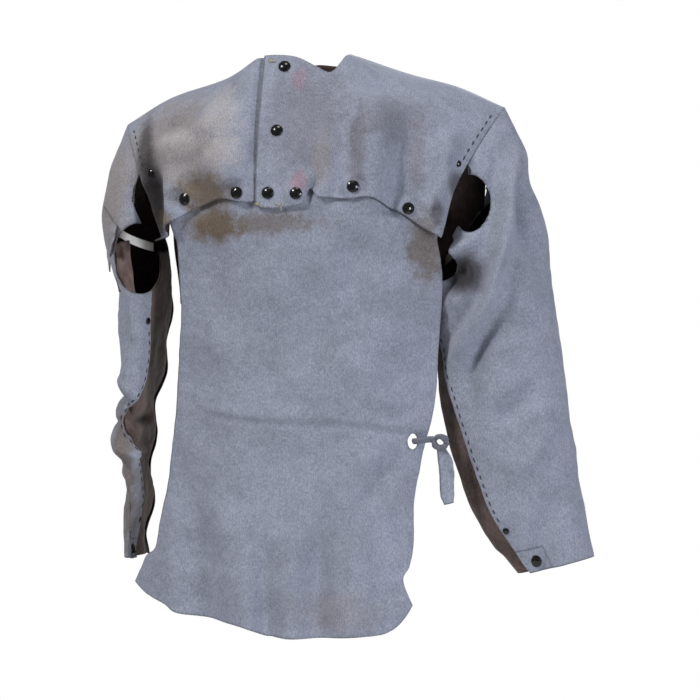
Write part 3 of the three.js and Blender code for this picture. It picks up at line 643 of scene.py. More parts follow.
def makeSuede():
    material, tree, shader, place = newMaterial("suede")
    nap = addNode(tree, "ShaderNodeGroup", {"node_tree": napGroup}, {"place": place})
    nap.inputs["cloudScale"].default_value = suedeLook["cloudScale"]
    nap.inputs["fibreScale"].default_value = suedeLook["fibreScale"]
    clouds = spread(tree, nap.outputs["clouds"], 0.30, 0.66)
    colour = mixColour(tree, sums(tree, "MULTIPLY", sums(tree, "SUBTRACT", 1.0, clouds), 0.45),
                       suedeLook["colour"], suedeLook["deep"])
    blotches = spread(tree, nap.outputs["blotches"], 0.35, 0.68)
    colour = mixColour(tree, sums(tree, "MULTIPLY", blotches, 0.28), colour, suedeLook["pale"])
    for centre, size, raggedness, strength, patchColour in stainsAndPaintedLight:
        stainAndPaintedLightPatch = addNode(tree, "ShaderNodeGroup", {"node_tree": stainAndPaintedLightGroup}, {"place": place})
        stainAndPaintedLightPatch.inputs["centre"].default_value = centre
        stainAndPaintedLightPatch.inputs["size"].default_value = size
        stainAndPaintedLightPatch.inputs["raggedness"].default_value = raggedness
        mask = sums(tree, "MULTIPLY", stainAndPaintedLightPatch.outputs["mask"], strength)
        colour = mixColour(tree, mask, colour, suedeLook[patchColour])
    fibres = spread(tree, nap.outputs["fibres"], 0.30, 0.72)
    fibreTint = mixColour(tree, fibres, suedeLook["fibreDark"], suedeLook["fibreLight"])
    colour = mixColour(tree, 1.0, colour, fibreTint, "MULTIPLY")
    edge = addNode(tree, "ShaderNodeGroup", {"node_tree": edgeGroup}, {"place": place})
    edge.inputs["reach"].default_value = suedeLook["edgeReach"]
    colour = mixColour(tree, sums(tree, "MULTIPLY", edge.outputs["mask"], 0.55), colour, suedeLook["edge"])
    tree.links.new(colour, shader.inputs["Base Color"])
    tree.links.new(spread(tree, nap.outputs["clouds"], 0.3, 0.7, 0.97, 0.84), shader.inputs["Roughness"])
    shader.inputs["Specular IOR Level"].default_value = 0.22
    shader.inputs["Sheen Weight"].default_value = 0.25
    shader.inputs["Sheen Roughness"].default_value = 0.45
    shader.inputs["Sheen Tint"].default_value = (0.80, 0.84, 1.0, 1)
    addBumps(tree, shader, nap, 0.35, 0.5)
    return material


def addBumps(tree, shader, nap, fibreStrength, pitStrength):
    fine = addNode(tree, "ShaderNodeBump", {"Strength": fibreStrength, "Distance": 0.0005},
                   {"Height": nap.outputs["fibres"]})
    pitted = addNode(tree, "ShaderNodeBump", {"Strength": pitStrength, "Distance": 0.0003},
                     {"Height": nap.outputs["pits"], "Normal": fine.outputs[0]})
    rough = addNode(tree, "ShaderNodeBump", {"Strength": 0.30, "Distance": 0.0016},
                    {"Height": nap.outputs["blotches"], "Normal": pitted.outputs[0]})
    tree.links.new(rough.outputs[0], shader.inputs["Normal"])


# the flesh side's dark brown is painted shade, for the insides of the cape and sleeves and for the sleeves'
# under panels
fleshLook = {
    "colour": (0.120, 0.084, 0.078), "pale": (0.190, 0.145, 0.135), "deep": (0.050, 0.034, 0.032),
    "paintedShade": (0.020, 0.017, 0.016), "cloudScale": 20, "fibreScale": 420,
    "paintedShadePlace": (0.215, 0.0, -0.180), "paintedShadeSize": (0.060, 0.12, 0.090), "paintedShadeRaggedness": 0.3,
}


def makeFleshSideWithPaintedShade():
    material, tree, shader, place = newMaterial("suedeFleshSideWithPaintedShade")
    nap = addNode(tree, "ShaderNodeGroup", {"node_tree": napGroup}, {"place": place})
    nap.inputs["cloudScale"].default_value = fleshLook["cloudScale"]
    nap.inputs["fibreScale"].default_value = fleshLook["fibreScale"]
    clouds = spread(tree, nap.outputs["clouds"], 0.36, 0.66)
    colour = mixColour(tree, clouds, fleshLook["deep"], fleshLook["colour"])
    fibres = spread(tree, nap.outputs["fibres"], 0.35, 0.75)
    colour = mixColour(tree, sums(tree, "MULTIPLY", fibres, 0.5), colour, fleshLook["pale"])
    # painted shadow on the under panel where it shows through the left sleeve's hollow
    paintedShade = addNode(tree, "ShaderNodeGroup", {"node_tree": stainAndPaintedLightGroup}, {"place": place})
    paintedShade.inputs["centre"].default_value = fleshLook["paintedShadePlace"]
    paintedShade.inputs["size"].default_value = fleshLook["paintedShadeSize"]
    paintedShade.inputs["raggedness"].default_value = fleshLook["paintedShadeRaggedness"]
    colour = mixColour(tree, sums(tree, "MULTIPLY", paintedShade.outputs["mask"], 0.9), colour, fleshLook["paintedShade"])
    edge = addNode(tree, "ShaderNodeGroup", {"node_tree": edgeGroup}, {"place": place})
    colour = mixColour(tree, sums(tree, "MULTIPLY", edge.outputs["mask"], 0.5), colour, fleshLook["deep"])
    tree.links.new(colour, shader.inputs["Base Color"])
    tree.links.new(spread(tree, nap.outputs["blotches"], 0.3, 0.7, 1.0, 0.85), shader.inputs["Roughness"])
    shader.inputs["Specular IOR Level"].default_value = 0.15
    shader.inputs["Sheen Weight"].default_value = 0.15
    addBumps(tree, shader, nap, 0.6, 0.7)
    return material


enamelLook = {"colour": (0.004, 0.004, 0.005), "dust": (0.040, 0.038, 0.040)}


def makeEnamel():
    material, tree, shader, place = newMaterial("blackEnamel")
    smudges = addNode(tree, "ShaderNodeTexNoise", {"Scale": 260.0, "Detail": 5.0}, {"Vector": place})
    scuffs = addNode(tree, "ShaderNodeTexNoise", {"Scale": 1100.0, "Detail": 4.0, "Distortion": 1.0},
                     {"Vector": place})
    dust = spread(tree, scuffs.outputs["Fac"], 0.56, 0.72)
    colour = mixColour(tree, sums(tree, "MULTIPLY", dust, 0.25), enamelLook["colour"], enamelLook["dust"])
    tree.links.new(colour, shader.inputs["Base Color"])
    tree.links.new(spread(tree, smudges.outputs["Fac"], 0.35, 0.70, 0.10, 0.34), shader.inputs["Roughness"])
    shader.inputs["Specular IOR Level"].default_value = 0.35
    shader.inputs["Coat Weight"].default_value = 0.25
    shader.inputs["Coat Roughness"].default_value = 0.06
    bump = addNode(tree, "ShaderNodeBump", {"Strength": 0.08, "Distance": 0.0002},
                   {"Height": scuffs.outputs["Fac"]})
    tree.links.new(bump.outputs[0], shader.inputs["Normal"])
    return material


steelLook = {"colour": (0.07, 0.07, 0.075), "worn": (0.26, 0.25, 0.24)}


def makeDarkSteel():
    material, tree, shader, place = newMaterial("darkSteel")
    grain = addNode(tree, "ShaderNodeTexNoise", {"Scale": 900.0, "Detail": 4.0}, {"Vector": place})
    patches = addNode(tree, "ShaderNodeTexNoise", {"Scale": 190.0, "Detail": 4.0}, {"Vector": place})
    worn = spread(tree, patches.outputs["Fac"], 0.42, 0.68)
    colour = mixColour(tree, worn, steelLook["colour"], steelLook["worn"])
    tree.links.new(colour, shader.inputs["Base Color"])
    tree.links.new(spread(tree, grain.outputs["Fac"], 0.3, 0.7, 0.28, 0.52), shader.inputs["Roughness"])
    shader.inputs["Metallic"].default_value = 0.9
    bump = addNode(tree, "ShaderNodeBump", {"Strength": 0.15, "Distance": 0.0002},
                   {"Height": grain.outputs["Fac"]})
    tree.links.new(bump.outputs[0], shader.inputs["Normal"])
    return material


elasticLook = {"shade": (0.72, 0.71, 0.70), "colour": (0.98, 0.97, 0.96), "soil": (0.55, 0.51, 0.47)}


def makeElastic():
    material, tree, shader, place = newMaterial("elasticCloth")
    ribs = addNode(tree, "ShaderNodeTexWave", {"bands_direction": "Z", "Scale": 420.0, "Distortion": 0.4},
                   {"Vector": place})
    cross = addNode(tree, "ShaderNodeTexWave", {"bands_direction": "X", "Scale": 300.0, "Distortion": 0.6},
                    {"Vector": place})
    soil = addNode(tree, "ShaderNodeTexNoise", {"Scale": 90.0, "Detail": 5.0}, {"Vector": place})
    weave = sums(tree, "MULTIPLY", ribs.outputs["Fac"], cross.outputs["Fac"])
    colour = mixColour(tree, weave, elasticLook["shade"], elasticLook["colour"])
    colour = mixColour(tree, sums(tree, "MULTIPLY", spread(tree, soil.outputs["Fac"], 0.45, 0.75), 0.4),
                       colour, elasticLook["soil"])
    tree.links.new(colour, shader.inputs["Base Color"])
    tree.links.new(spread(tree, soil.outputs["Fac"], 0.3, 0.7, 0.75, 0.95), shader.inputs["Roughness"])
    bump = addNode(tree, "ShaderNodeBump", {"Strength": 0.5, "Distance": 0.0004}, {"Height": weave})
    tree.links.new(bump.outputs[0], shader.inputs["Normal"])
    return material


def makeThread(name, colour, pale):
    material, tree, shader, place = newMaterial(name)
    twist = addNode(tree, "ShaderNodeTexWave", {"bands_direction": "DIAGONAL", "Scale": 700.0,
                                                "Distortion": 0.5}, {"Vector": place})
    fuzz = addNode(tree, "ShaderNodeTexNoise", {"Scale": 1500.0, "Detail": 3.0}, {"Vector": place})
    blend = sums(tree, "MULTIPLY", twist.outputs["Fac"], fuzz.outputs["Fac"])
    tree.links.new(mixColour(tree, blend, colour, pale), shader.inputs["Base Color"])
    tree.links.new(spread(tree, fuzz.outputs["Fac"], 0.3, 0.7, 0.6, 0.85), shader.inputs["Roughness"])
    bump = addNode(tree, "ShaderNodeBump", {"Strength": 0.4, "Distance": 0.0003},
                   {"Height": twist.outputs["Fac"]})
    tree.links.new(bump.outputs[0], shader.inputs["Normal"])
    return material


suede = makeSuede()
fleshSideWithPaintedShade = makeFleshSideWithPaintedShade()
blackEnamel = makeEnamel()
darkSteel = makeDarkSteel()
elasticCloth = makeElastic()
blackThread = makeThread("blackThread", (0.012, 0.012, 0.014), (0.05, 0.05, 0.055))
paleThread = makeThread("paleThread", (0.38, 0.33, 0.20), (0.62, 0.56, 0.38))
print("materials made")


def steps(count, *breaks):
    return np.unique(np.round(np.concatenate([np.linspace(0, 1, count), np.array(breaks, float)]), 6))


def frontPanel(innerX, outerX, hem):
    def surface(u, v):
        x = lerp(innerX(v), outerX(v), u)
        top = frontTop(lerp(innerX(np.zeros_like(v)), outerX(np.zeros_like(v)), u))
        foot = hem(lerp(innerX(np.ones_like(v)), outerX(np.ones_like(v)), u))
        return frontPoint(x, lerp(top, foot, v))
    return surface


def makeCape():
    edge, fold = body["placketEdge"], body["placketFold"]
    length = ridgeHeight(np.array(edge)) - body["yokeHem"]
    underlap = (ridgeHeight(np.array(edge)) + 0.132) / length

    def rightInner(v):
        return lerp(edge + 0.040, edge - 0.0012, smoothstep(v, underlap - 0.1, underlap))

    def rightLift(points, u, v):
        deepest = lerp(snapDrop, leather + fitGap * 2, smoothstep(v, underlap - 0.1, underlap))
        return capeRelief(points) - deepest * smoothstep(points[..., 0], edge - 0.012, edge - 0.001)

    right, _ = sheetPiece("capeRightFront", frontPanel(rightInner, lambda v: frontArmholeX(-1, v), frontHem),
                          steps(110), steps(84), rightLift, materials=(suede, fleshSideWithPaintedShade))
    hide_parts("right_front")
    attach(right, "cape")

    leftPanel = frontPanel(lambda v: edge + 0 * v, lambda v: frontArmholeX(1, v), leftHem)
    left, _ = sheetPiece("capeLeftFront", leftPanel, steps(130), steps(84), lambda p, u, v: capeRelief(p),
                         turned=True, materials=(suede, fleshSideWithPaintedShade))
    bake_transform(left, "cape", "placket", start=(fold + 0.009, -0.1, -0.084), end=(fold - 0.009, -0.1, -0.084))
    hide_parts("left_front", "placket_flap")

    def backSurface(u, v):
        x = lerp(backArmholeX(-1, v), backArmholeX(1, v), u)
        zero = np.zeros_like(v)
        top = backTop(lerp(backArmholeX(-1, zero), backArmholeX(1, zero), u))
        return backPoint(x, lerp(top, body["backHem"] + 0.003 * np.sin(x * 40), v))

    back, _ = sheetPiece("capeBack", backSurface, steps(150), steps(100),
                         lambda p, u, v: backRelief(p), materials=(suede, fleshSideWithPaintedShade))
    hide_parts("cape_back")
    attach(back, "cape")


makeCape()
print("cape made")

bib = {
    "foot": -0.688, "top": -0.140, "holeHeight": -0.456,
    "leftFoot": -0.652, "leftEnd": 0.1488, "rightFoot": -0.630, "rightEnd": -0.2056,  # the hem's two ends
}
# each side's x at a depth below the origin, and the hem's height across the bib
bibRight = curveThrough([
    (0.140, -0.150), (0.260, -0.143), (0.394, -0.1465), (0.443, -0.1535), (0.500, -0.161), (0.565, -0.171),
    (0.588, -0.1758), (0.598, -0.189), (0.612, -0.196), (-bib["rightFoot"], bib["rightEnd"]),
])
bibLeft = curveThrough([
    (0.140, 0.158), (0.240, 0.180), (0.324, 0.178), (0.408, 0.172), (0.470, 0.158), (0.528, 0.150),
    (0.576, 0.149), (0.604, 0.144), (0.619, 0.1370), (0.636, 0.1415), (-bib["leftFoot"], bib["leftEnd"]),
])
bibHem = curveThrough([
    (bib["rightEnd"], bib["rightFoot"]), (-0.1876, -0.644), (-0.162, -0.655), (-0.146, -0.6646),
    (-0.108, -0.668), (-0.062, -0.677), (-0.012, -0.690), (0.036, -0.691), (0.1046, -0.687),
    (0.1270, -0.681), (0.1400, -0.668), (bib["leftEnd"], bib["leftFoot"]),
])


def bibY(x, z):
    hang = np.clip((-0.180 - z) / (-0.180 - bib["foot"]), 0, 1)
    fallIn = 0.016 * np.sin(math.pi * hang) - 0.008 * hang
    folds = 0.003 * hang * np.sin(x / 0.024 + 0.6)
    return frontY(x, np.minimum(z, body["sternumFoot"])) * lerp(1, 0.97, hang) + fallIn + folds


def bibPoint(x, z):
    return np.stack([x, np.where(z > body["sternumFoot"], frontY(x, z), bibY(x, z)), z], axis=-1)


# the rows stay level until near the hem, so that they don't cross the notched edge
def bibSurface(u, v):
    def height(foot):
        return lerp(bib["top"], bib["leftFoot"], v) + (foot - bib["leftFoot"]) * v ** 9

    across = lerp(bibRight(-height(bib["rightFoot"])), bibLeft(-height(bib["leftFoot"])), u)
    return bibPoint(across, height(bibHem(lerp(bib["rightEnd"], bib["leftEnd"], u))))


def makeBib():
    lift = lambda p, u, v: bibRelief(p) - snapDrop
    holeX = float(bibLeft(-bib["holeHeight"])) - 0.016
    spot = bibPoint(np.array(holeX), np.array(bib["holeHeight"]))
    piece, _ = sheetPiece("bib", bibSurface, steps(150), steps(230), lift, turned=True,
                          holes=[(spot + [0, 0.004, 0], np.array([0.006, 0.03, 0.010]))],
                          materials=(suede, fleshSideWithPaintedShade))
    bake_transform(piece, "cape", "bib", start=(0, -0.127, -0.166), end=(0, -0.127, -0.196))
    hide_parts("bib_snap_strip", "bib_panel")


makeBib()
print("bib made")

# Stations down each sleeve are measured from the shoulder's tip. Angles go round the arm in degrees,
# 0 at the outside and 90 in front, and alongs go from 0 at the shoulder to 1 at the cuff.
sleeves = {
    "left": {
        "side": 1, "tip": body["shoulderLeft"],
        "rim": (0, -0.066, -0.114), "underarm": (-0.068, -0.004, -0.178),
        "at": [(-0.034, -0.002, -0.096), (-0.025, -0.006, -0.178), (-0.012, -0.008, -0.276),
               (0.003, -0.012, -0.376), (0.024, -0.014, -0.471), (0.063, -0.016, -0.556)],
        "halfWidth": [0.076, 0.072, 0.078, 0.079, 0.073, 0.049],
        "halfDepth": [0.066, 0.066, 0.054, 0.048, 0.042, 0.031],
        "lean": [50, 18, 2, 0, 4, 15], "turn": 0, "seam": (150, 124), "twist": (0.5, 0.1, 0),
        "flare": (0.007, 0.22, 0.14),
        "opening": (140, 0.17, (0.030, 0.034, 0.030)), "strap": (116, 0.16, 200, 0.16),
        "hollows": [((0.212, -0.050, -0.170), (0.025, 0.06, 0.036))], "strapBow": 0.0,
        "upperCut": (0.310, 0.560, 0.147), "underCut": (0.100, 0.450, 0.041),
        "flapCut": (0.028, 0.038, 0.00103),
    },
    "right": {
        "side": -1, "tip": body["shoulderRight"],
        "rim": (-0.008, -0.082, -0.116), "underarm": (-0.046, 0.004, -0.158),
        "at": [(-0.002, 0, -0.078), (-0.018, 0.002, -0.160), (-0.018, 0.006, -0.258),
               (-0.010, 0.008, -0.358), (-0.008, 0.010, -0.453), (-0.006, 0.012, -0.534)],
        "halfWidth": [0.040, 0.033, 0.028, 0.019, 0.015, 0.011],
        "halfDepth": [0.076, 0.084, 0.086, 0.080, 0.070, 0.054],
        "lean": [56, 10, 0, 0, 0, 4], "turn": 4, "seam": (122, 152), "twist": (0.62, 0.085, 62),
        "flare": (0.016, 0.15, 0.07),
        "opening": (100, 0.21, (0.036, 0.054, 0.044)), "strap": (52, 0.168, 158, 0.158),
        "hollows": [], "strapBow": 0.016,
        "upperCut": (0.225, 0.560, 0.109), "underCut": (0.120, 0.450, 0.049),
        "flapCut": (0.021, 0.036, 0.00070),
    },
}
backSeam = 232  # angle of the seam behind the arm
capShare = 0.2  # how far down the sleeve still takes its shape from the armhole
rivetShare = 0.44  # how far down the armhole its front rivet sits
backRivetShare = rivetShare * 0.75
cuffStart = 0.925  # where the cuff's slit begins
cuffReach = 36  # how many degrees the cuff's flap covers
stitchLap = 12  # and how many the upper panel laps over the under panel


def fromTip(sleeve, place):
    top = ridgeHeight(np.array(sleeve["side"] * sleeve["tip"]))
    x, y, z = np.moveaxis(np.asarray(place, float), -1, 0)
    return np.stack([sleeve["side"] * (sleeve["tip"] + x), y, top + z], -1)


def stationValue(sleeve, key, along):
    values = np.array(sleeve[key], float)
    last = len(values) - 1
    place = np.maximum(0, along) * last
    i = np.minimum(np.floor(place), last - 1).astype(int)
    t = place - i
    a, b, c, d = (values[np.clip(i + k, 0, last)] for k in (-1, 0, 1, 2))
    if values.ndim > 1:
        t = t[..., None]
    mixed = b + 0.5 * t * (c - a + t * (2 * a - 5 * b + 4 * c - d + t * (3 * (b - c) + d - a)))
    return fromTip(sleeve, mixed) if key == "at" else mixed


def ringPoint(sleeve, angle, along):
    turned = np.radians(angle)
    width = stationValue(sleeve, "halfWidth", along)
    depth = stationValue(sleeve, "halfDepth", along)
    lean = np.radians(stationValue(sleeve, "lean", along))
    cosine = np.cos(turned)
    outward = width * np.sign(cosine) * np.abs(cosine) ** np.where(width < depth, 0.62, 1)
    x = sleeve["side"] * outward * np.cos(lean)
    y = -depth * np.sin(turned)
    z = outward * np.sin(lean)
    swing = np.radians(sleeve["turn"] * smoothstep(along, 0, 0.4))
    local = np.stack([x * np.cos(swing) - y * np.sin(swing), x * np.sin(swing) + y * np.cos(swing), z], -1)
    return local + stationValue(sleeve, "at", along)


def edgeOfFront(side, v):
    one, zero = np.ones_like(v), np.zeros_like(v)
    top = frontTop(frontArmholeX(side, zero))
    return frontPoint(frontArmholeX(side, v), lerp(top, frontHem(frontArmholeX(side, one)), v))


def edgeOfBack(side, v):
    top = backTop(backArmholeX(side, np.zeros_like(v)))
    return backPoint(backArmholeX(side, v), lerp(top, body["backHem"], v))


def armholePoint(sleeve, angle):
    loop = np.mod(angle, 360)
    behind = loop > 180
    down = np.where(behind, 360 - loop, loop) / 90
    result = np.zeros(np.shape(loop) + (3,))
    for isBehind, edge, share in ((False, edgeOfFront, rivetShare), (True, edgeOfBack, backRivetShare)):
        stitched = edge(sleeve["side"], share * np.clip(down, 0, 1))
        rivet = edge(sleeve["side"], share + 0 * down)
        rim = fromTip(sleeve, sleeve["rim"])
        if isBehind:
            rim = rim * [1, -1, 1]
        under = fromTip(sleeve, sleeve["underarm"])
        t = np.clip(down - 1, 0, 1)[..., None]
        free = rivet * (1 - t) ** 2 + rim * 2 * t * (1 - t) + under * t ** 2
        side = np.where((down <= 1)[..., None], stitched, free)
        result = np.where((behind == isBehind)[..., None], side, result)
    return result


def sleevePoint(sleeve, angle, along):
    ring = ringPoint(sleeve, angle, along)
    loose = smoothstep(along, 0, capShare)[..., None]
    edge = armholePoint(sleeve, angle)
    point = lerp(edge, ring, loose)
    reach, middle, width = sleeve["flare"]  # the shoulder's cap stands out over the open underarm
    outer = np.maximum(np.cos(np.radians(angle)), 0) ** 1.5
    point[..., 0] += sleeve["side"] * reach * outer * bell(along - middle, width)
    return point


def seamAngle(sleeve, along):
    top, cuff = sleeve["seam"]
    middle, width, degrees = sleeve["twist"]  # the forearm twists, and shows more of the under panel
    return lerp(top, cuff, smoothstep(along, 0.25, 0.85)) - degrees * bell(along - middle, width)


def sleevePatch(sleeve, fromAngle, toAngle, fromAlong, toAlong):
    def surface(u, v):
        along = lerp(fromAlong, toAlong, v)
        return sleevePoint(sleeve, lerp(fromAngle(along), toAngle(along), u), along)
    return surface


def sleeveRelief(sleeve, points, along):
    ahead = smoothstep(-points[..., 1], -0.02, 0.01)
    folds = foldDepth(points[..., 0], points[..., 2], sleeveFolds) * ahead
    rings = 0.0035 * np.sin(points[..., 2] * 74 + points[..., 1] * 40 + points[..., 0] * 25)
    behind = rings * smoothstep(points[..., 1], 0.0, 0.03) * smoothstep(along, 0.2, 0.4)
    strength = 0.7 if sleeve["side"] > 0 else 0.8
    return (folds + behind + hangWaves(points, strength)) * smoothstep(along, 0.0, 0.10)


# a point of the sleeve follows the cape along the stitched arm hole and the sleeve elsewhere
def sleeveWeights(angle, along):
    loop = np.mod(angle, 360)
    down = np.where(loop > 180, 360 - loop, loop) / 90
    free = smoothstep(down, 0.95, 1.35)
    reach = lerp(0.30, 0.10, free)
    start = lerp(0.0, -0.10, free)
    return smoothstep(along, start, start + reach)


# a place on the sleeve's leather, or on its bare shape when it isn't lifted, and the way it faces
def sleeveSpot(sleeve, angle, along, lifted=True):
    u = np.array([angle, angle + 0.2, angle, angle - 0.2, angle])
    v = np.array([along, along, along + 0.002, along, along - 0.002])
    p = sleevePoint(sleeve, u, v)
    normal = unit(np.cross(p[1] - p[3], p[2] - p[4]))
    if sleeve["side"] < 0:
        normal = -normal
    if lifted:
        p = p + normal * sleeveRelief(sleeve, p, v)[:, None]
    return p[0], normal


def makeSleeve(name, sleeve):
    side = sleeve["side"]
    turned = side < 0
    front = lambda along: seamAngle(sleeve, along)
    angle, along, size = sleeve["opening"]
    centre = sleevePoint(sleeve, np.array(float(angle)), np.array(along))
    opening = [(centre, np.array(size))]
    # the upper panel's free edge hangs open in front of the arm
    hollow = [tuple(np.array(part) for part in place) for place in sleeve["hollows"]]

    upperTo = backSeam - 360
    cutShare = cuffReach / (sleeve["seam"][1] - upperTo)
    surface = sleevePatch(sleeve, front, lambda a: upperTo + 0 * a, 0, 1)

    def upperLift(p, u, v):
        return sleeveRelief(sleeve, p, v)

    upper, rest = sheetPiece(name + "SleeveUpper", surface, steps(150, cutShare), steps(180, cuffStart),
                             upperLift, turned=not turned,
                             drop=lambda u, v: (u < cutShare) & (v > cuffStart),
                             holes=opening + hollow, materials=(suede, fleshSideWithPaintedShade))
    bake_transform(upper, "cape", name + "_sleeve", start=(side * 0.22, 0, -0.07), end=(side * 0.26, 0, -0.2))
    angles = lerp(front(rest["v"]), upperTo, rest["u"])
    setBlend(upper, sleeveWeights(angles, rest["v"]))
    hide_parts(name + "_sleeve_upper")

    toCuff = lambda a: smoothstep(a, cuffStart - 0.015, cuffStart + 0.015)
    lapEdge = lambda a: front(a) - lerp(stitchLap, cuffReach - 4, toCuff(a))
    top, foot = along - 0.03, 0.996
    beneath = sleevePatch(sleeve, lapEdge, lambda a: backSeam + 4 + 0 * a, top, foot)

    def underLift(p, u, v):
        a = lerp(top, foot, v)
        return sleeveRelief(sleeve, p, a) - lerp(lapDrop, snapDrop, toCuff(a))

    # the under panel's outer face takes the dark flesh-side material: painted shade on the arm's inner side
    under, rest = sheetPiece(name + "SleeveUnder", beneath, steps(70), steps(160), underLift, turned=turned,
                             holes=opening, materials=(fleshSideWithPaintedShade, fleshSideWithPaintedShade))
    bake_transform(under, "cape", name + "_sleeve", start=(side * 0.22, 0, -0.07), end=(side * 0.26, 0, -0.2))
    alongs = lerp(top, foot, rest["v"])
    angles = lerp(lapEdge(alongs), backSeam + 4, rest["u"])
    setBlend(under, sleeveWeights(angles, alongs))
    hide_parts(name + "_sleeve_under")

    # the flap is the cut end of the upper panel, so its folded edge stays joined to it
    flapPatch = sleevePatch(sleeve, lambda a: front(a) - cuffReach + 0.0 * a, front, cuffStart + 0.001, 1)
    flap, rest = sheetPiece(name + "CuffFlap", flapPatch, steps(40), steps(30),
                            lambda p, u, v: sleeveRelief(sleeve, p, lerp(cuffStart, 1, v)),
                            turned=turned, materials=(suede, fleshSideWithPaintedShade))
    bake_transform(flap, name + "_sleeve", name + "_cuff", start=(0, 0, 0), end=(0, 0, -1))
    setBlend(flap, smoothstep(rest["u"], 0.0, 0.22))
    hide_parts(name + "_cuff_flap")


for name, sleeve in sleeves.items():
    makeSleeve(name, sleeve)
print("sleeves made")

snap = {"radius": 0.0074, "rim": 0.0013, "crown": 0.0023, "socket": 0.0054, "depth": 0.0016}
rivet = {"radius": 0.0042, "rim": 0.0007, "crown": 0.0012, "socket": 0.0034, "depth": 0.0012}
# each ring of the dome goes inwards by a share of the radius, and up by a share of the crown
domeRings = ((0.10, 0.10), (0.16, 0.34), (0.20, 0.26), (0.20, 0.18), (0.14, 0.08))


def chooseFaces(obj, test):
    bpy.ops.mesh.select_all(action="DESELECT")
    worker = bmesh.from_edit_mesh(obj.data)
    for face in worker.faces:
        face.select_set(bool(test(face)))
    worker.select_flush(True)
    bmesh.update_edit_mesh(obj.data)


# a domed cap that stands on the leather, with its socket below it
def modelCap(name, look, below):
    bpy.ops.object.select_all(action="DESELECT")
    bpy.ops.mesh.primitive_cylinder_add(vertices=32, radius=look["radius"], depth=look["rim"],
                                        location=(0, 0, look["rim"] / 2 + 0.0001))
    cap = bpy.context.object
    cap.name = name
    bpy.ops.object.transform_apply(location=True)
    bpy.ops.object.mode_set(mode="EDIT")
    chooseFaces(cap, lambda face: face.normal.z > 0.9)
    for share, rise in domeRings:
        bpy.ops.mesh.inset(thickness=look["radius"] * share, depth=0)
        bpy.ops.transform.translate(value=(0, 0, look["crown"] * rise))
    chooseFaces(cap, lambda face: face.normal.z < -0.9)
    bpy.ops.mesh.inset(thickness=look["radius"] * 0.10, depth=0)
    bpy.ops.transform.translate(value=(0, 0, -look["rim"] * 0.25))
    bpy.ops.object.mode_set(mode="OBJECT")
    bpy.ops.mesh.primitive_cylinder_add(vertices=24, radius=look["socket"], depth=look["depth"],
                                        location=(0, 0, -below - look["depth"] / 2))
    socket = bpy.context.object
    bpy.ops.object.transform_apply(location=True)
    bpy.ops.object.mode_set(mode="EDIT")
    chooseFaces(socket, lambda face: face.normal.z < -0.9)
    bpy.ops.mesh.inset(thickness=look["socket"] * 0.45, depth=0)
    bpy.ops.transform.translate(value=(0, 0, look["depth"] * 0.55))
    bpy.ops.object.mode_set(mode="OBJECT")
    bpy.ops.object.select_all(action="DESELECT")
    socket.select_set(True)
    cap.select_set(True)
    bpy.context.view_layer.objects.active = cap
    bpy.ops.object.join()
    bevel = cap.modifiers.new("rimRound", "BEVEL")
    bevel.width = look["rim"] * 0.30
    bevel.segments = 3
    bevel.angle_limit = math.radians(40)
    bpy.ops.object.modifier_apply(modifier=bevel.name)
    smooth = cap.modifiers.new("crownRound", "SUBSURF")
    smooth.levels = smooth.render_levels = 1
    bpy.ops.object.modifier_apply(modifier=smooth.name)
    bpy.ops.object.shade_smooth_by_angle(angle=math.radians(50))
    cap.select_set(False)
    return cap


def placeCopy(model, name, point, normal, material):
    mesh = model.data.copy()
    turn = Vector((0, 0, 1)).rotation_difference(Vector([float(c) for c in normal]))
    mesh.transform(Matrix.Translation([float(c) for c in point]) @ turn.to_matrix().to_4x4())
    piece = bpy.data.objects.new(name, mesh)
    bpy.context.scene.collection.objects.link(piece)
    mesh.materials.clear()
    mesh.materials.append(material)
    return piece


# a place on the leather and the way it faces, from four points around it
def spotOn(surface, relief, outward, x, z):
    xs = np.array([x, x + 0.002, x, x - 0.002, x])
    zs = np.array([z, z, z + 0.002, z, z - 0.002])
    p = surface(xs, zs)
    normal = outward * unit(np.cross(p[1] - p[3], p[2] - p[4]))
    return p[0] + normal * relief(p)[0], normal


def frontSpot(x, z):
    return spotOn(frontPoint, capeRelief, 1, x, z)


def backSpot(x, z):
    return spotOn(backPoint, backRelief, -1, x, z)


def armholeRivet(side, ahead):
    share = np.array(rivetShare if ahead else backRivetShare)
    edge = edgeOfFront(side, share) if ahead else edgeOfBack(side, share)
    x = float(edge[0]) - side * 0.011
    return frontSpot(x, float(edge[2]) + 0.002) if ahead else backSpot(x, float(edge[2]) + 0.002)


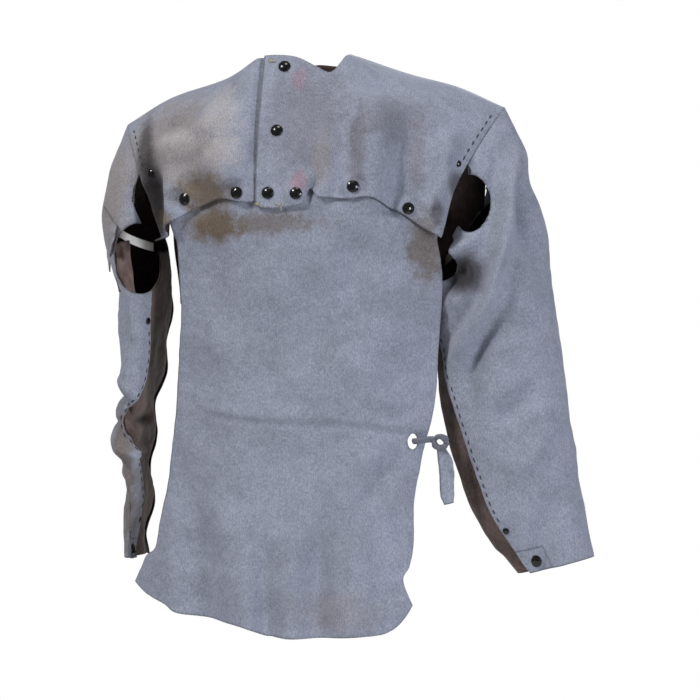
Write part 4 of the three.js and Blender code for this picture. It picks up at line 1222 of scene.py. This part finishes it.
def makeMetal():
    capModel = modelCap("snapCapModel", snap, leather + 0.0004)
    rivetModel = modelCap("rivetModel", rivet, leather + 0.0002)
    for name, x, z, rides in snapPlaces:
        cap = placeCopy(capModel, name + "Cap", *frontSpot(x, z), blackEnamel)
        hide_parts(name + "_cap")
        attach(cap, rides)
    for name, sleeve in sleeves.items():
        middle = seamAngle(sleeve, np.array(1.0)) - cuffReach / 2
        spot = sleeveSpot(sleeve, float(middle), (cuffStart + 1) / 2)
        cap = placeCopy(capModel, name + "CuffSnapCap", *spot, blackEnamel)
        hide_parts(name + "_cuff_snap_cap")
        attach(cap, name + "_cuff")
        for ahead, end in ((True, "front"), (False, "back")):
            spot = armholeRivet(sleeve["side"], ahead)
            head = placeCopy(rivetModel, name + "ArmholeRivet" + end.title(), *spot, blackEnamel)
            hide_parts(f"{name}_armhole_rivet_{end}")
            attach(head, "cape")
        for i, along in enumerate((sleeve["opening"][1] + 0.16, 0.875)):
            spot = sleeveSpot(sleeve, float(seamAngle(sleeve, np.array(along))) - 6, along)
            head = placeCopy(rivetModel, f"{name}SeamRivet{i + 1}", *spot, blackEnamel)
            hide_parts(f"{name}_seam_rivet_{i + 1}")
            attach(head, name + "_sleeve")
    for model in (capModel, rivetModel):
        bpy.data.objects.remove(model)
    for node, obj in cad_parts.items():
        if node.endswith("_stud"):
            for place in obj.material_slots:
                place.material = darkSteel


makeMetal()
print("snaps and rivets made")


def addMesh(name, verts, faces, material):
    mesh = bpy.data.meshes.new(name)
    mesh.from_pydata([tuple(float(c) for c in p) for p in verts], [], faces)
    mesh.materials.append(material)
    mesh.polygons.foreach_set("use_smooth", np.ones(len(faces), bool))
    mesh.update()
    piece = bpy.data.objects.new(name, mesh)
    bpy.context.scene.collection.objects.link(piece)
    return piece


# a closed tube along points, whose half width across and half height may change on the way
def tube(points, across, halfWidth, halfHeight, sides):
    points = np.asarray(points, float)
    count = len(points)
    ahead = unit(np.gradient(points, axis=0))
    across = np.broadcast_to(across, points.shape)
    sideways = unit(across - ahead * np.sum(across * ahead, axis=-1, keepdims=True))
    upward = np.cross(ahead, sideways)
    width = np.broadcast_to(halfWidth, (count,))
    height = np.broadcast_to(halfHeight, (count,))
    verts, faces = [], []
    for i in range(count):
        for k in range(sides):
            turn = 2 * math.pi * k / sides
            verts.append(points[i] + sideways[i] * width[i] * math.cos(turn)
                         + upward[i] * height[i] * math.sin(turn))
    for i in range(count - 1):
        for k in range(sides):
            a, b = i * sides + k, i * sides + (k + 1) % sides
            faces.append((a, b, b + sides, a + sides))
    faces.append(tuple(range(sides))[::-1])
    faces.append(tuple(range((count - 1) * sides, count * sides)))
    return verts, faces


stitch = {"length": 0.0072, "width": 0.0009, "gap": 0.0040}


# dashes of thread along a line of (point, normal) on the leather
def makeStitches(name, spots, rides, material):
    points = np.array([p for p, n in spots])
    normals = np.array([n for p, n in spots])
    reach = np.concatenate([[0], np.cumsum(np.linalg.norm(np.diff(points, axis=0), axis=1))])
    verts, faces = [], []
    start = 0.002
    while start + stitch["length"] < reach[-1]:
        places = np.linspace(start, start + stitch["length"], 7)
        line = np.stack([np.interp(places, reach, points[:, k]) for k in range(3)], -1)
        up = unit(np.stack([np.interp(places, reach, normals[:, k]) for k in range(3)], -1))
        bow = np.sin(np.linspace(0, math.pi, 7))
        line = line + up * (0.0007 * bow - 0.0005)[:, None]
        across = np.cross(up, np.gradient(line, axis=0))
        swell = stitch["width"] * (0.55 + 0.45 * bow)
        newVerts, newFaces = tube(line, across, swell, swell * 0.75, 6)
        faces += [tuple(i + len(verts) for i in face) for face in newFaces]
        verts += newVerts
        start += stitch["length"] + stitch["gap"]
    piece = addMesh(name, verts, faces, material)
    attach(piece, rides)


def makeAllStitches():
    for name, sleeve in sleeves.items():
        side = sleeve["side"]
        for ahead in (True, False):
            share = rivetShare if ahead else backRivetShare
            spots = []
            for v in np.linspace(0.05, share - 0.03, 40):
                edge = edgeOfFront(side, np.array(v)) if ahead else edgeOfBack(side, np.array(v))
                x = float(edge[0]) - side * 0.008
                spots.append(frontSpot(x, float(edge[2])) if ahead else backSpot(x, float(edge[2])))
            makeStitches(f"{name}ArmholeStitches{'Front' if ahead else 'Back'}", spots, "cape", blackThread)
        for row, (low, high) in enumerate(((sleeve["opening"][1] + 0.18, 0.52), (0.52, 0.865))):
            spots = [sleeveSpot(sleeve, float(seamAngle(sleeve, np.array(a))) - 4.5, a)
                     for a in np.linspace(low, high, 90)]
            makeStitches(f"{name}SeamStitches{row + 1}", spots, name + "_sleeve", blackThread)


# loose ends of pale thread, where the placket's seams stop
def makeThreadEnds():
    dice = np.random.RandomState(12)
    verts, faces = [], []
    for x, z in ((-0.033, 0.004), (-0.034, -0.170), (-0.006, -0.170)):
        for _ in range(3):
            turn, length = dice.uniform(0, 6.28), dice.uniform(0.004, 0.008)
            reach = np.linspace(0, 1, 8)
            xs = x + 0.0015 * dice.normal() + reach * length * math.cos(turn)
            zs = z + 0.0015 * dice.normal() + reach * length * math.sin(turn) * 0.7
            spots = [frontSpot(float(a), float(min(b, z + 0.004))) for a, b in zip(xs, zs)]
            line = np.array([p + n * (0.0004 + 0.0012 * math.sin(3 * r)) for (p, n), r in zip(spots, reach)])
            newVerts, newFaces = tube(line, np.array([0.3, 0.1, 1.0]), 0.0005, 0.0005, 6)
            faces += [tuple(i + len(verts) for i in face) for face in newFaces]
            verts += newVerts
    piece = addMesh("paleThreadEnds", verts, faces, paleThread)
    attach(piece, "placket")


makeAllStitches()
makeThreadEnds()
print("stitches made")


tie = {"width": 0.016, "pinch": 0.009, "knot": 0.009, "tail": 0.066}


def makeTie():
    edgeX = float(bibLeft(-bib["holeHeight"]))
    holeX = edgeX - 0.016
    hole = bibPoint(np.array(holeX), np.array(bib["holeHeight"]))
    knot = np.array([edgeX + 0.015, hole[1] + 0.016 + 0.0065 - snapDrop, bib["holeHeight"]])
    # out through the hole, over the edge, round in a loop and under itself
    turns = np.linspace(0, 1, 60)
    loop = np.stack([
        knot[0] + 0.0075 * np.cos(turns * 9.4 + 2.6) + 0.001 * turns,
        knot[1] - 0.0035 * np.sin(turns * 14.0) - 0.002,
        knot[2] + 0.0070 * np.sin(turns * 9.4 + 2.6) - 0.001,
    ], -1)
    lead = np.stack([hole + [0, 0.008, 0], hole + [0.001, 0.000, 0], hole + [0.006, -0.0045, 0.001],
                     hole + [0.014, -0.0020, 0.002], loop[0] + [-0.004, 0.0, 0.001]])
    route = np.concatenate([lead, loop])
    smooth = route.copy()
    for _ in range(3):
        smooth[1:-1] = (smooth[:-2] + 2 * smooth[1:-1] + smooth[2:]) / 4
    width = 0.0036 + 0.0006 * np.sin(np.linspace(0, 16, len(smooth)))
    verts, faces = tube(smooth, np.array([0.0, -0.35, 0.94]), width, 0.0022, 12)
    knotPiece = addMesh("waistTieKnot", verts, faces, suede)
    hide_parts("waist_tie_knot")
    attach(knotPiece, "bib")

    top = knot + [0, 0, -tie["knot"] * 0.55]

    def tail(u, v):
        width = lerp(tie["pinch"], tie["width"], smoothstep(v, 0.0, 0.3))
        across = (u - 0.5) * width * (1 - 0.25 * smoothstep(v, 0.85, 1))
        curl = 0.0035 * (np.abs(u - 0.5) * 2) ** 2 * np.sin(v * 4)
        return np.stack([top[0] + across + 0.014 * v + 0.003 * np.sin(v * 5), top[1] - 0.004 * v * v - curl,
                         top[2] - v * (tie["tail"] + 0.004) + across * 0.25 * v], -1)

    tailPiece, _ = sheetPiece("waistTieTail", tail, steps(14), steps(50),
                              lambda p, u, v: 0.0004 * softWaves(p, 0.012, 4), turned=True,
                              materials=(suede, fleshSideWithPaintedShade))
    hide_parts("waist_tie_tail")
    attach(tailPiece, "waist_tie")


# a small piece takes the weights of the sleeve beside it
def followSleeve(piece, name, sleeve):
    side = sleeve["side"]
    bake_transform(piece, "cape", name + "_sleeve", start=(side * 0.22, 0, -0.07), end=(side * 0.26, 0, -0.2))
    points = np.array([tuple(v.co) for v in piece.data.vertices])
    angle, along = np.meshgrid(np.linspace(-60, 220, 110), np.linspace(0.0, 0.45, 60))
    surface = sleevePoint(sleeve, angle, along).reshape(-1, 3)
    nearest = np.linalg.norm(points[:, None, :] - surface[None], axis=-1).argmin(axis=1)
    setBlend(piece, sleeveWeights(angle.ravel()[nearest], along.ravel()[nearest]))


def makeStrap(name, sleeve):
    ends = []
    for angle, along in (sleeve["strap"][:2], sleeve["strap"][2:]):
        point, normal = sleeveSpot(sleeve, float(angle), along, False)
        ends.append(point - normal * (leather * 2 + lapDrop + 0.0013 + 0.001))
    ends = np.array(ends)

    def band(u, v):
        line = lerp(ends[0], ends[1], u[..., None])
        bow = np.sin(math.pi * u)
        slack = np.stack([0 * u, -sleeve["strapBow"] * bow, (0.5 - v) * 0.010 - 0.0015 * bow], -1)
        return line + slack

    piece, _ = sheetPiece(name + "UnderarmElastic", band, steps(60), steps(12),
                          lambda p, u, v: 0.00025 * np.sin(u * 150), turned=sleeve["side"] < 0, thick=0.0013,
                          materials=(elasticCloth,))
    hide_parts(name + "_underarm_elastic")
    followSleeve(piece, name, sleeve)


# how far forward the sleeve lies at a place seen from the front
def sleeveFrontAt(sleeve, x, z):
    angle, along = np.meshgrid(np.linspace(-20, 140, 120), np.linspace(0.03, 0.45, 90))
    p = sleevePoint(sleeve, angle, along)
    away = np.hypot(p[..., 0] - x, p[..., 2] - z) + 0.02 * (p[..., 1] > 0)
    return float(p.reshape(-1, 3)[np.argmin(away), 1])


# loose leather at the open underarm: the cap's turned-back corner, and the forearm's folded rim, with
# how far each corner stands ahead of the sleeve
looseLeather = {
    "turnedCorner": {"corners": [(-0.2440, -0.172), (-0.2190, -0.196), (-0.2450, -0.252), (-0.2240, -0.222)],
                     "ahead": [0.004, 0.008, 0.012, 0.014], "bulge": 0.004},
    "foldedRim": {"corners": [(-0.2300, -0.218), (-0.2080, -0.214), (-0.2200, -0.276), (-0.1960, -0.282)],
                  "ahead": [-0.004, -0.016, 0.001, -0.004], "bulge": 0.007},
}


def makeLooseLeather():
    sleeve = sleeves["right"]
    for name, look in looseLeather.items():
        corners = np.array([(x, sleeveFrontAt(sleeve, x, z) - ahead, z)
                            for (x, z), ahead in zip(look["corners"], look["ahead"])])

        def patch(u, v):
            u, v = u[..., None], v[..., None]
            flat = lerp(lerp(corners[0], corners[1], u), lerp(corners[2], corners[3], u), v)
            bowU, bowV = np.sin(math.pi * np.clip(u, 0, 1)), np.sin(math.pi * np.clip(v, 0, 1))
            swell = look["bulge"] * bowU * (0.4 + 0.6 * bowV)
            crumple = 0.0016 * np.sin(v * 11 + u * 5) + 0.0010 * np.sin(u * 13 - v * 6)
            sag = 0 * u - 0.003 * np.sin(math.pi * u) * v
            return flat - np.concatenate([0 * u, swell + crumple, sag], -1)

        piece, _ = sheetPiece("right" + name[0].upper() + name[1:], patch, steps(30), steps(44),
                              lambda p, u, v: 0.0003 * softWaves(p, 0.012, 6), turned=True,
                              materials=(suede if name == "turnedCorner" else fleshSideWithPaintedShade, fleshSideWithPaintedShade))
        followSleeve(piece, "right", sleeve)


makeLooseLeather()
makeTie()
for name, sleeve in sleeves.items():
    makeStrap(name, sleeve)
print("tie and elastic made")


view = {"azimuth": 10, "elevation": 1.2, "distance": 5.0, "width": 0.84, "across": 0.054, "height": -0.348}
studio = {"floorHeight": -0.96, "floorSize": 2.2, "aim": (0, 0, -0.3), "roomLight": 0.17}
lights = {
    "key": {"place": (-1.9, -1.9, 2.0), "size": 0.7, "power": 82, "colour": (1.0, 0.985, 0.96)},
    "fill": {"place": (2.5, -1.9, -0.2), "size": 0.9, "power": 54, "colour": (0.93, 0.96, 1.0)},
    "top": {"place": (0.2, -0.7, 2.2), "size": 0.8, "power": 16, "colour": (1.0, 1.0, 1.0)},
    "rear": {"place": (0.3, 2.6, 0.9), "size": 2.0, "power": 20, "colour": (0.96, 0.98, 1.0)},
}


def makeStudio():
    azimuth, elevation = math.radians(view["azimuth"]), math.radians(view["elevation"])
    across = Vector((math.cos(azimuth), math.sin(azimuth), 0))
    target = across * view["across"] + Vector((0, 0, view["height"]))
    back = Vector((math.sin(azimuth) * math.cos(elevation), -math.cos(azimuth) * math.cos(elevation),
                   math.sin(elevation)))
    data = bpy.data.cameras.new("camera")
    data.sensor_width = 36
    data.lens = 36 * (view["distance"] - 0.11) / view["width"]
    camera = bpy.data.objects.new("camera", data)
    camera.location = target + back * view["distance"]
    camera.rotation_euler = back.to_track_quat("Z", "Y").to_euler()
    bpy.context.scene.collection.objects.link(camera)
    bpy.context.scene.camera = camera

    bpy.ops.object.select_all(action="DESELECT")
    bpy.ops.mesh.primitive_plane_add(size=studio["floorSize"], location=(0, 0, studio["floorHeight"]))
    floor = bpy.context.object
    floor.name = "floor"
    material, tree, shader, place = newMaterial("paleFloor")
    speck = addNode(tree, "ShaderNodeTexNoise", {"Scale": 3.0, "Detail": 4.0}, {"Vector": place})
    tree.links.new(mixColour(tree, speck.outputs["Fac"], (0.86, 0.86, 0.86), (0.90, 0.90, 0.90)),
                   shader.inputs["Base Color"])
    shader.inputs["Roughness"].default_value = 0.9
    floor.data.materials.append(material)

    for name, light in lights.items():
        data = bpy.data.lights.new(name, "AREA")
        data.size = light["size"]
        data.energy = light["power"]
        data.color = light["colour"]
        lamp = bpy.data.objects.new(name, data)
        lamp.location = light["place"]
        away = Vector(light["place"]) - Vector(studio["aim"])
        lamp.rotation_euler = away.to_track_quat("Z", "Y").to_euler()
        bpy.context.scene.collection.objects.link(lamp)

    world = bpy.data.worlds.new("studio")
    bpy.context.scene.world = world
    world.use_nodes = True
    tree = world.node_tree
    background = tree.nodes["Background"]
    path = addNode(tree, "ShaderNodeLightPath")
    strength = addNode(tree, "ShaderNodeMapRange", {}, {"Value": path.outputs["Is Camera Ray"]})
    strength.inputs["To Min"].default_value = studio["roomLight"]
    strength.inputs["To Max"].default_value = 1.0
    background.inputs["Color"].default_value = (1, 1, 1, 1)
    tree.links.new(strength.outputs["Result"], background.inputs["Strength"])
    bpy.context.scene.view_settings.view_transform = "Standard"


makeStudio()
print("studio made")
